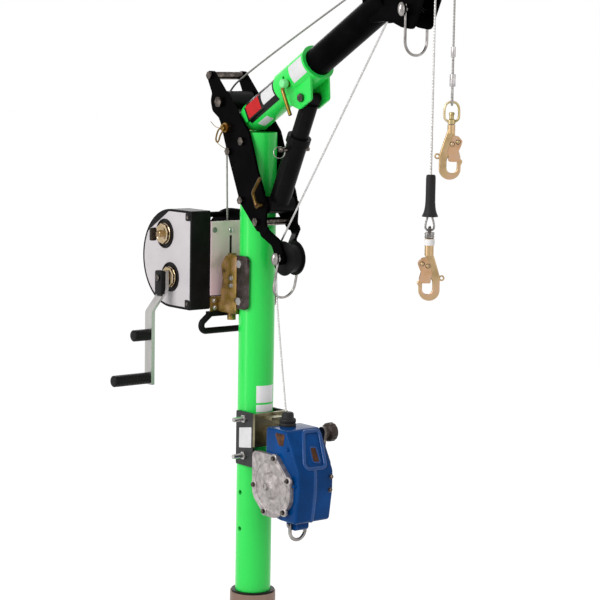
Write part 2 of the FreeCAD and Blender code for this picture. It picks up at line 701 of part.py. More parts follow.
# Plates that clamp the winch to the mast, the zinc channel behind them and its latch pin
def winch_mounting(front):
    low = WINCH_BOLT_Z - BRACKET_PITCH
    high = WINCH_BOLT_Z + CLAMP_OVER
    out = PLATE_IN + BRACKET_T
    clamps = []
    for nose, y0 in ((CLAMP_FRONT, -out), (CLAMP_FAR_FRONT, PLATE_IN)):
        blade = plate_y([(CLAMP_BACK, low - CLAMP_OVER, 0), (nose, low - CLAMP_OVER, CLAMP_ROUND),
                         (nose, high, CLAMP_ROUND), (CLAMP_BACK, high, 0)], y0, y0 + BRACKET_T)
        for z in (WINCH_BOLT_Z, low):
            blade = bored(blade, (0, z), BOLT_D / 2)
        clamps.append(blade)
    save("winch_clamp_plates", clamps)

    cheek = [(front, BAND_LOW, 0), (CLAMP_BACK, BAND_LOW, 0), (CLAMP_BACK, high, 0),
             (CLAMP_TAIL, high, CHEEK_ROUND), (CLAMP_TAIL, BAND_HIGH, CHEEK_ROUND / 2), (front, BAND_HIGH, 0)]
    floor = box(front, -MAST_R - RUN_FIT, -PLATE_IN, PLATE_IN, BAND_LOW, BAND_LOW + BRACKET_T)
    web = box(front, front + MOUNT_T, -PLATE_IN, PLATE_IN, BAND_LOW, BAND_HIGH)
    pin = cyl_z(LATCH_PIN[0], LATCH_PIN[1], LATCH_PIN_R, BAND_LOW - LATCH_PIN_DROP, high)
    band = box(WINCH_FLAT, front, WINCH_BACK_Y, WINCH_END_Y + WINCH_END_T, BAND_LOW, BAND_HIGH)
    channel = fused(plate_pair(cheek, PLATE_IN, BRACKET_T) + [floor, web]).cut(pin)
    save("winch_latch", [channel, pin, band])

    bolts = []
    for z in (WINCH_BOLT_Z, low):
        bolts.append(bolt_y((0, z), BOLT_D, out))
    for z in (REEL_BOLT_Z, REEL_BOLT_Z - BRACKET_PITCH):
        at = (REEL_BOLT_X, z)
        bolts.append(bolt_y(at, BOLT_D, out).fuse(cyl_y(at, BOLT_D / 2, -out - REEL_BOLT_OUT, -out)))
    save("bracket_bolts", bolts)


def drum():
    y0 = WINCH_BACK_Y + DRUM_SIDE
    y1 = WINCH_END_Y - DRUM_SIDE
    spool = fused([cyl_y(DRUM, DRUM_CORE_R, y0, y1), cyl_y(DRUM, DRUM_FLANGE_R, y0, y0 + DRUM_FLANGE_T),
                   cyl_y(DRUM, DRUM_FLANGE_R, y1 - DRUM_FLANGE_T, y1),
                   cyl_y(DRUM, DRUM_AXLE_R, WINCH_BACK_Y - 18, WINCH_END_Y + WINCH_END_T + 6)])
    wraps = tube_y(DRUM, DRUM_ROPE_R - ROPE_R - RUN_FIT, DRUM_CORE_R, y0 + DRUM_FLANGE_T, y1 - DRUM_FLANGE_T)
    save("winch_drum", [spool, wraps])


def crank():
    x, z = CRANK_HUB
    y0 = WINCH_FACE_Y - CRANK_OUT
    hub = cyl_y(CRANK_HUB, HUB_R, y0, WINCH_FACE_Y - RUN_FIT)
    save("crank_hub", hub.fuse(cyl_y(CRANK_HUB, DRUM_AXLE_R, y0, WINCH_FACE_Y + WINCH_FACE_T + 26)))
    y1 = y0 - CRANK_T
    y2 = y0 - CRANK_STEP
    y3 = y2 - CRANK_T
    end = z - CRANK_REACH - CRANK_END
    bend = z - HUB_R - 5
    foot = bend - 50
    side = [(y0, z + CRANK_END, 0), (y0, bend, CRANK_BEND), (y2, foot, CRANK_BEND), (y2, end, 0),
            (y3, end, 0), (y3, foot - 3, CRANK_BEND), (y1, bend - 3, CRANK_BEND), (y1, z + CRANK_END, 0)]
    edges = path_edges(side, lambda a, b: V(x - CRANK_W / 2, a, b), True)
    save("crank_arm", Part.Face(Part.Wire(edges)).extrude(V(CRANK_W, 0, 0)))
    save("crank_cap", cyl_y(CRANK_HUB, CAP_R, y1 - CAP_T, y1))
    grips = []
    for reach, length in ((CRANK_REACH, GRIP_LEN), (CRANK_SHORT_REACH, GRIP_SHORT)):
        tip = y3 - length
        profile = [(0, y3), (GRIP_R, y3), (GRIP_R, tip + GRIP_EDGE), (GRIP_R - GRIP_EDGE, tip), (0, tip)]
        grips.append(spin_y(profile, (x, z - reach)))
    save("crank_grips", grips)


def lifeline():
    low = REEL_BOLT_Z - BRACKET_PITCH
    high = REEL_BOLT_Z + 16
    side = [(-10, low - 26, 4), (BRACKET_FRONT, low - 26, 4), (BRACKET_FRONT, high, 4), (-10, high, 4)]
    plates = []
    for blade in plate_pair(side, PLATE_IN, BRACKET_T):
        for z in (REEL_BOLT_Z, low):
            blade = bored(blade, (REEL_BOLT_X, z), BOLT_D / 2)
        plates.append(blade)
    save("lifeline_side_plates", plates)
    out = PLATE_IN + BRACKET_T
    web = BRACKET_FRONT + BRACKET_WEB
    back = REEL[0] + REEL_BACK
    top = REEL[1] + REEL_TOP
    cross = box(BRACKET_FRONT, web, -out, out, top - 62, high)
    shelf = box(web, back - 24, -26, 14, top + 8, top + 14)
    shank = box(web, back, -22, 22, top - 60, top - 12)
    save("lifeline_cross_plate", fused([cross, shelf, shank]))

    r = REEL_COVER_R
    body = [near(REEL, REEL_BACK, REEL_TOP, 8), near(REEL, 42, REEL_TOP, 14), near(REEL, REEL_FRONT, 42, 24),
            near(REEL, REEL_FRONT, -6, 40), near(REEL, REEL_FRONT - 11, REEL_LOW, 10),
            near(REEL, 22, REEL_LOW, 10), near(REEL, -24, -r, 24), near(REEL, 6 - r, -38, 30),
            near(REEL, 6 - r, 60, 8), near(REEL, REEL_BACK, 64, 4)]
    lug = [near(REEL_LUG, -22, 22, 0), near(REEL_LUG, -22, -13, 11), near(REEL_LUG, 22, -13, 11),
           near(REEL_LUG, 22, 22, 0)]
    shell = fused([plate_y(body, REEL_NEAR, REEL_FAR),
                   plate_y(lug, REEL_MID_Y - REEL_LUG_HALF, REEL_MID_Y + REEL_LUG_HALF)])
    shell = bored(shell, REEL_LUG, REEL_LUG_R)
    grip = [near(REEL, 50, 106, 6), near(REEL, 80, 52, 6), near(REEL, 58, 40, 6), near(REEL, 27, 94, 6)]
    shell = shell.cut(plate_y(grip, -22, REEL_FAR))
    shell = shell.cut(cyl_y(REEL, 8 + RUN_FIT, REEL_FAR - 20, REEL_FAR))
    save("lifeline_housing", shell)

    cover = [near(REEL, 3 - r, r + 1, 14), near(REEL, 18, r + 1, 20), near(REEL, r, 20, 40),
             near(REEL, r, -38, 40), near(REEL, 22, -r - 2, 40), near(REEL, -22, -r - 2, 40),
             near(REEL, 3 - r, -34, 44)]
    y = REEL_NEAR - REEL_COVER_T
    d = REEL_DOME_R
    dome = spin_y([(0, y), (d, y), (d * 0.8, y - 8), (d * 0.4, y - 12), (0, y - 12)], REEL)
    save("lifeline_cover", fused([plate_y(cover, y, REEL_NEAR), dome]))

    step = top + NECK_STEP
    profile = [(0, top), (NECK_R, top), (NECK_R, step), (NECK_TOP_R, step), (NECK_TOP_R, OUTLET_Z),
               (0, OUTLET_Z)]
    neck = spin_z(profile, NECK_X, ROPE_Y)
    save("lifeline_neck", neck.cut(cyl_z(OUTLET_X, ROPE_Y, ROPE_R + NECK_PLAY, top, OUTLET_Z)))
    x, z = REEL_LUG
    near_leg = REEL_MID_Y - REEL_RING_HALF
    far_leg = REEL_MID_Y + REEL_RING_HALF
    low = z - REEL_RING_DROP
    bend = REEL_RING_HALF - 0.2
    loop = [(near_leg, z + 3, 0), (near_leg, low, bend), (far_leg, low, bend), (far_leg, z + 3, 0)]
    edges = path_edges(loop, lambda a, b: V(x, a, b), False)
    pin = cyl_y(REEL_LUG, REEL_LUG_R, near_leg - 8, far_leg + 8)
    save("lifeline_ring", fused([rod_along(edges, REEL_RING_R), pin]))
    reel_crank()


def reel_crank():
    y0 = REEL_FAR + REEL_ARM_GAP
    y1 = y0 + REEL_ARM_T
    knob = (REEL[0] + REEL_ARM[0], REEL[1] + REEL_ARM[1])
    length = math.hypot(REEL_ARM[0], REEL_ARM[1])
    slope = math.degrees(math.atan2(REEL_ARM[1], REEL_ARM[0]))
    blade = plate_y([(0, -16, 15), (length + 12, -12, 11), (length + 12, 12, 11), (0, 16, 15)], y0, y1)
    arm = fused([tilted(blade, slope, REEL), cyl_y(REEL, 16, y0, y1), cyl_y(REEL, 8, REEL_FAR - 18, y0)])
    save("lifeline_crank_arm", arm)
    r = REEL_KNOB_R
    tip = y1 + REEL_KNOB_H
    profile = [(0, y1), (r * 0.45, y1), (r, y1 + 6), (r, tip - 4), (r * 0.8, tip), (0, tip)]
    save("lifeline_crank_knob", spin_y(profile, knob))


# Line that touches two sheaves, the sign telling on which side of its travel each one lies
def tangent(p, rp, q, rq):
    dx = q[0] - p[0]
    dz = q[1] - p[1]
    turn = math.atan2(dz, dx) - math.asin((rp - rq) / math.hypot(dx, dz))
    nx = -math.sin(turn)
    nz = math.cos(turn)
    return turn, (p[0] + rp * nx, p[1] + rp * nz), (q[0] + rq * nx, q[1] + rq * nz)


def rope_place(a, b):
    return V(a, ROPE_Y, b)


def rope_arc(at, radius, a0, a1):
    points = []
    for a in (a0, (a0 + a1) / 2, a1):
        points.append(V(at[0] + radius * math.cos(a), ROPE_Y, at[1] + radius * math.sin(a)))
    return Part.Arc(points[0], points[1], points[2]).toShape()


def ropes():
    quarter = math.pi / 2
    roller_r = ROLLER_R + ROPE_R + ROPE_GAP
    leave = math.radians(ROLLER_LEAVE)
    turn, p, q = tangent(DRUM, -DRUM_ROPE_R, MAST_SHEAVE, roller_r)
    rise = path_edges([p + (0,), q + (0,)], rope_place, False)
    rise.append(rope_arc(MAST_SHEAVE, roller_r, turn + quarter, leave))
    save("winch_rope_rise", rod_along(rise, ROPE_R))
    away = roller_r + RUN_FIT * 0.05
    start = (MAST_SHEAVE[0] + away * math.cos(leave - 0.02), MAST_SHEAVE[1] + away * math.sin(leave - 0.02))
    turn, p, q = tangent(WINCH_BEND, 0, HEAD_TOP, HEAD_TOP_R)
    run = path_edges([start + (0,), WINCH_BEND + (WINCH_BEND_R,), q + (0,)], rope_place, False)
    save("winch_rope_boom", rod_along(run + [rope_arc(HEAD_TOP, HEAD_TOP_R, turn + quarter, 0.02)], ROPE_R))

    turn, p, q = tangent(LIFE_BEND, 0, FOOT_SHEAVE, FOOT_SHEAVE_R)
    rise = path_edges([(OUTLET_X, OUTLET_Z, 0), LIFE_BEND + (LIFE_BEND_R,), q + (0,)], rope_place, False)
    arrive = turn + quarter
    turn, p, q = tangent(FOOT_SHEAVE, FOOT_SHEAVE_R, HEAD_LOW, HEAD_LOW_R)
    leave = turn + quarter
    save("lifeline_rise", rod_along(rise + [rope_arc(FOOT_SHEAVE, FOOT_SHEAVE_R, arrive, leave)], ROPE_R))
    start = (p[0] + RUN_FIT * math.cos(turn), p[1] + RUN_FIT * math.sin(turn))
    run = path_edges([start + (0,), q + (0,)], rope_place, False)
    save("lifeline_boom", rod_along(run + [rope_arc(HEAD_LOW, HEAD_LOW_R, leave, 0.02)], ROPE_R))


# Wire bent in an upright plane through a hanging line
def hung_wire(points, x, turn, radius):
    c = math.cos(math.radians(turn))
    s = math.sin(math.radians(turn))
    return rod_along(path_edges(points, lambda a, b: V(x + a * c, ROPE_Y + a * s, b), False), radius)


# Forged snap hook drawn in its own plane, with the spring gate that wraps its shank
def hook(x, top, neck_top, neck_r, turn, name):
    half = HOOK_T / 2
    bowl = (HOOK_FRONT - HOOK_BACK) / 2 - 0.2
    eye = (HOOK_MOUTH_FRONT - HOOK_MOUTH_BACK) / 2 - 0.2
    outline = [(-HOOK_NECK, 2, 0), (-14, -16, 20), (HOOK_BACK, -52, 30), (HOOK_BACK, -HOOK_LOW, bowl),
               (HOOK_FRONT, -HOOK_LOW, bowl), (HOOK_FRONT, -74, 8), (HOOK_FRONT + 5, -64, 5),
               (HOOK_FRONT - 3, -59, 4), (HOOK_MOUTH_FRONT, -68, 6), (HOOK_MOUTH_FRONT, HOOK_MOUTH_LOW, eye),
               (HOOK_MOUTH_BACK, HOOK_MOUTH_LOW, eye), (HOOK_MOUTH_BACK, -62, 18), (HOOK_NECK + 1, -32, 14),
               (HOOK_NECK, 2, 0)]
    body = plate_y(outline, -half, half)
    flat = [edge for edge in body.Edges if edge.BoundBox.YLength < 0.01 and edge.BoundBox.ZMax < 1]
    body = body.makeFillet(HOOK_EDGE, flat)
    neck = cyl_z(0, 0, neck_r, -5, neck_top - top)
    ring = Part.makeTorus(4.8, 1.8, V(HOOK_BACK - 4, 0, -55), V(0, 1, 0))
    body = bored(fused([body, neck, ring]), GATE_PIN, GATE_PIN_R + 0.3)

    inner = half + GATE_GAP
    plate = [(-4, -66.5, 3), (20, -66.5, 3), (21, -57, 3), (17, -42, 4), (22, -31, 4), (24.5, -21, 5),
             (16, -11, 5), (3, -9, 3), (0, -24, 6), (-7, -42, 8)]
    wide = inner + GATE_PLATE
    front = [(13, -66.5, 0), (16, -40, 0), (16 - GATE_PLATE, -40, 0), (13 - GATE_PLATE, -66.5, 0)]
    lever = [(24, -22, 0), (17, -12.5, 0), (17 - GATE_PLATE, -13, 0), (24 - 1.5 * GATE_PLATE, -23, 0)]
    pin = cyl_y(GATE_PIN, GATE_PIN_R, -wide - 1, wide + 1)
    bars = [plate_y(front, -wide, wide), plate_y(lever, -wide, wide), pin]
    gate = fused(plate_pair(plate, inner, GATE_PLATE) + bars)
    for part, label in ((body, name), (gate, name + "_gate")):
        part.rotate(V(0, 0, 0), V(0, 0, 1), turn)
        part.translate(V(x, ROPE_Y, top))
        save(label, part)


def winch_fall():
    x = HEAD_TOP[0] + HEAD_TOP_R
    leg = EYE_WIRE + 0.6
    low = WINCH_EYE_LOW
    eye = [(-leg, WINCH_CRIMP_LOW, 0), (-leg, WINCH_CRIMP_LOW - 20, 60), (-EYE_HALF, low + 40, 60),
           (-EYE_HALF, low, EYE_HALF - 0.2), (EYE_HALF, low, EYE_HALF - 0.2), (EYE_HALF, low + 40, 60),
           (leg, WINCH_CRIMP_LOW - 20, 60), (leg, WINCH_CRIMP_LOW, 0)]
    line = fused([cyl_z(x, ROPE_Y, ROPE_R, WINCH_CRIMP_LOW, HEAD_TOP[1]),
                  cyl_z(x, ROPE_Y, CRIMP_R, WINCH_CRIMP_LOW, WINCH_CRIMP_TOP),
                  hung_wire(eye, x, HOOK_TURN + 90, EYE_WIRE)])
    arch = low + EYE_WIRE + BOW_WIRE + RUN_FIT
    boss = WINCH_BOSS_LOW + 12
    wide = 15.2
    bend = wide - 0.2
    bow = [(-5, boss - 5, 0), (-wide, boss, 9), (-wide, arch, bend), (wide, arch, bend), (wide, boss, 9),
           (5, boss - 5, 0)]
    barrel = cyl_z(x, ROPE_Y, WINCH_NECK_R, WINCH_BOSS_LOW, boss)
    swivel = fused([hung_wire(bow, x, HOOK_TURN, BOW_WIRE), barrel])
    save("winch_line", [line, swivel])
    hook(x, WINCH_HOOK_TOP, WINCH_BOSS_LOW - RUN_FIT, WINCH_NECK_R, HOOK_TURN, "winch_hook")


def lifeline_fall():
    x = HEAD_LOW[0] + HEAD_LOW_R
    leg = EYE_WIRE + 0.6
    low = LIFE_EYE_LOW
    wide = EYE_HALF + 0.4
    eye = [(-leg, LIFE_CRIMP_LOW, 0), (-wide, low, 5.5), (wide, low, 5.5), (leg, LIFE_CRIMP_LOW, 0)]
    line = fused([cyl_z(x, ROPE_Y, ROPE_R, LIFE_CRIMP_LOW, HEAD_LOW[1]),
                  cyl_z(x, ROPE_Y, CRIMP_R, LIFE_CRIMP_LOW - 1, LIFE_CRIMP_LOW + 8),
                  hung_wire(eye, x, HOOK_TURN, EYE_WIRE)])
    arch = low + EYE_WIRE + BOW_WIRE + RUN_FIT
    cap = LIFE_CAP_LOW + 14
    bow = [(-8, cap - 4, 0), (-8, arch, 7.8), (8, arch, 7.8), (8, cap - 4, 0)]
    barrel = cyl_z(x, ROPE_Y, LIFE_NECK_R + 1, LIFE_CAP_LOW, cap)
    swivel = fused([hung_wire(bow, x, HOOK_TURN + 90, BOW_WIRE), barrel])
    save("lifeline_line", [line, swivel])

    bore = ROPE_R + 0.2
    mouth = LIFE_BUMPER_LOW
    top = LIFE_BUMPER_TOP
    profile = [(bore, top), (9, top), (10.2, top - 4), (10.6, mouth + 30), (18, mouth + 6), (18, mouth),
               (15.5, mouth), (8.6, mouth + 22), (bore, mouth + 22)]
    save("lifeline_bumper", spin_z(profile, x, ROPE_Y))
    hook(x, LIFE_HOOK_TOP, LIFE_CAP_LOW - RUN_FIT, LIFE_NECK_R, HOOK_TURN + 180, "lifeline_hook")


base()
mast()
knee()
roller()
sheave(FOOT_SHEAVE, FOOT_SHEAVE_R, "foot_sheave")
sheave(HEAD_TOP, HEAD_TOP_R, "head_sheave_upper")
sheave(HEAD_LOW, HEAD_LOW_R, "head_sheave_lower")
boom()
strut()
winch()
crank()
lifeline()
ropes()
winch_fall()
lifeline_fall()
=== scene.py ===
import json
import math
import bmesh
import bpy
import numpy as np
from mathutils import Matrix, Vector


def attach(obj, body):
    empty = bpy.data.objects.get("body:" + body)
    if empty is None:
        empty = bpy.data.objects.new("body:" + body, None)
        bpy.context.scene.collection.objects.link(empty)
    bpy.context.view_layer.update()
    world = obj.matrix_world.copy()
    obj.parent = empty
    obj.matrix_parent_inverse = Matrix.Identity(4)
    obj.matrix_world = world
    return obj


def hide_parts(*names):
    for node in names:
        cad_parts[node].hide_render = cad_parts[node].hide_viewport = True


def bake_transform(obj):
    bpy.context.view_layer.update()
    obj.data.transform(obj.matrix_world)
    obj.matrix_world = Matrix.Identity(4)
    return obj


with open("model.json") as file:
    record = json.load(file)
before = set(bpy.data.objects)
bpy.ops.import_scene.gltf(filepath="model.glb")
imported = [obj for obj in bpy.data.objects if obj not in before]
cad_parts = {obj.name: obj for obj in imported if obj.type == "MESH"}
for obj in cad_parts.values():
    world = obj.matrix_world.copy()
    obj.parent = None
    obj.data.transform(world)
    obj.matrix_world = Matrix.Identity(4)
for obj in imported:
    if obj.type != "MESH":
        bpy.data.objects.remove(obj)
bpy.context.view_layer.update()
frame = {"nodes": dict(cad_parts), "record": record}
nodes = frame["nodes"]
print("frame:", len(nodes), "nodes")


# camera fitted to the photograph: long lens, a little above the reel, rolled by a degree
cameraSpec = {
    "place": (3.8804, -3.004, 1.5955), "turn": 51.009, "pitch": 6.9693, "roll": 0.9683, "lens": 120.0,
    "sensor": 36.0}


def makeCamera(spec):
    a, p, r = (math.radians(spec[k]) for k in ("turn", "pitch", "roll"))
    ahead = np.array([-math.sin(a) * math.cos(p), math.cos(a) * math.cos(p), -math.sin(p)])
    flat = np.array([math.cos(a), math.sin(a), 0.0])
    lift = np.cross(flat, ahead)
    right = math.cos(r) * flat + math.sin(r) * lift
    up = math.cos(r) * lift - math.sin(r) * flat
    data = bpy.data.cameras.new("photoCamera")
    data.lens = spec["lens"]
    data.sensor_width = spec["sensor"]
    data.clip_end = 60.0
    camera = bpy.data.objects.new("photoCamera", data)
    bpy.context.scene.collection.objects.link(camera)
    turn = Matrix((right, up, -ahead)).transposed().to_4x4()
    camera.matrix_world = Matrix.Translation(spec["place"]) @ turn
    bpy.context.scene.camera = camera


makeCamera(cameraSpec)


# soft studio: three large panels, a tall one at the side, a pale world, a white floor that keeps its shadow
studioSpec = {
    "world": 0.48, "floorSize": 60.0, "floorLevel": -0.0005, "floorWhite": 0.8, "floorShare": 0.6,
    "floorGlow": 1.42,
    "panels": [("keyPanel", (0.4, -4.4, 3.2), (0.1, 0.0, 1.1), 2.6, 125.0),
        ("fillPanel", (5.0, 0.6, 2.2), (0.1, 0.0, 1.1), 3.0, 24.0),
        ("rearPanel", (-3.6, 1.8, 3.2), (0.1, 0.0, 1.2), 2.4, 45.0),
        ("stripPanel", (-0.9, -3.1, 1.3), (0.0, 0.0, 1.1), (0.3, 2.4), 16.0)]}


# node helper: values are set on its sockets, links come from other nodes' outputs
def addNode(tree, kind, values=(), links=(), operation=None):
    node = tree.nodes.new("ShaderNode" + kind)
    if operation:
        node.operation = operation
    for socket, value in dict(values).items():
        node.inputs[socket].default_value = value
    for socket, source in dict(links).items():
        tree.links.new(source, node.inputs[socket])
    return node


# one for the rays that see the background itself: camera, glossy and transmission rays
def seenRays(tree):
    path = addNode(tree, "LightPath")
    seen = path.outputs["Is Camera Ray"]
    for kind in ("Is Glossy Ray", "Is Transmission Ray"):
        seen = addNode(tree, "Math", links={0: seen, 1: path.outputs[kind]}, operation="MAXIMUM").outputs[0]
    return seen


def makeStudio(spec):
    scene = bpy.context.scene
    scene.view_settings.view_transform = "Standard"
    world = bpy.data.worlds.new("paleRoom")
    scene.world = world
    world.use_nodes = True
    tree = world.node_tree
    back = tree.nodes["Background"]
    back.inputs["Color"].default_value = (1, 1, 1, 1)
    level = addNode(tree, "MapRange", {"To Min": spec["world"], "To Max": 1.0}, {"Value": seenRays(tree)})
    tree.links.new(level.outputs["Result"], back.inputs["Strength"])
    for name, place, aim, size, power in spec["panels"]:
        data = bpy.data.lights.new(name, "AREA")
        if isinstance(size, tuple):
            data.shape = "RECTANGLE"
            data.size, data.size_y = size
        else:
            data.size = size
        data.energy = power
        lamp = bpy.data.objects.new(name, data)
        scene.collection.objects.link(lamp)
        lamp.location = place
        lamp.rotation_euler = (Vector(aim) - Vector(place)).to_track_quat("-Z", "Y").to_euler()
    half, low = spec["floorSize"] / 2, spec["floorLevel"]
    corners = [(-half, -half, low), (half, -half, low), (half, half, low), (-half, half, low)]
    mesh = bpy.data.meshes.new("floor")
    mesh.from_pydata(corners, [], [(0, 1, 2, 3)])
    floor = bpy.data.objects.new("floor", mesh)
    scene.collection.objects.link(floor)
    paint = bpy.data.materials.new("whiteFloor")
    paint.use_nodes = True
    tree = paint.node_tree
    tree.nodes.clear()
    matt = addNode(tree, "BsdfDiffuse", {"Color": (spec["floorWhite"],) * 3 + (1,)})
    glow = addNode(tree, "Emission", {"Strength": spec["floorGlow"]})
    share = addNode(tree, "Math", {1: spec["floorShare"]}, {0: seenRays(tree)}, "MULTIPLY")
    mix = addNode(tree, "MixShader", links={0: share.outputs[0], 1: matt.outputs[0], 2: glow.outputs[0]})
    addNode(tree, "OutputMaterial", links={0: mix.outputs[0]})
    mesh.materials.append(paint)


makeStudio(studioSpec)
print("studio ready")


# finishes: colour wanders between three tints by a soft noise, roughness and bump by a finer one
noiseSpec = {"low": 0.3, "high": 0.7, "driftDetail": 4.0, "grainDetail": 3.0}


def makeFinish(name, spec):
    paint = bpy.data.materials.new(name)
    paint.use_nodes = True
    tree = paint.node_tree
    shader = tree.nodes["Principled BSDF"]
    low, high = noiseSpec["low"], noiseSpec["high"]
    spot = addNode(tree, "TexCoord").outputs["Object"]
    scale = {"Scale": spec.get("stretch", (1, 1, 1))}
    spot = addNode(tree, "Mapping", scale, {"Vector": spot}).outputs["Vector"]
    scale = {"Scale": spec.get("driftScale", 14.0), "Detail": noiseSpec["driftDetail"]}
    drift = addNode(tree, "TexNoise", scale, {"Vector": spot}).outputs["Fac"]
    tint = addNode(tree, "ValToRGB", links={"Fac": drift})
    stops = tint.color_ramp.elements
    stops[0].position = low
    stops[1].position = high
    stops.new((low + high) / 2)
    for stop, colour in zip(stops, spec["tints"]):
        stop.color = colour + (1,)
    scale = {"Scale": spec.get("grainScale", 420.0), "Detail": noiseSpec["grainDetail"]}
    grain = addNode(tree, "TexNoise", scale, {"Vector": spot}).outputs["Fac"]
    ends = {"From Min": low, "From Max": high, "To Min": spec["rough"][0], "To Max": spec["rough"][1]}
    gloss = addNode(tree, "MapRange", ends, {"Value": grain})
    depth = {"Strength": spec.get("bump", 0.06), "Distance": spec.get("bumpDepth", 0.0004)}
    bump = addNode(tree, "Bump", depth, {"Height": grain})
    tree.links.new(tint.outputs["Color"], shader.inputs["Base Color"])
    tree.links.new(gloss.outputs["Result"], shader.inputs["Roughness"])
    tree.links.new(bump.outputs["Normal"], shader.inputs["Normal"])
    shader.inputs["Metallic"].default_value = spec.get("metal", 0.0)
    shader.inputs["Specular IOR Level"].default_value = spec.get("specular", 0.5)
    return paint


# three tints of one colour: a darker, its own and a lighter
def tints(colour, low, high):
    return [tuple(c * low for c in colour), tuple(colour), tuple(min(1.0, c * high) for c in colour)]


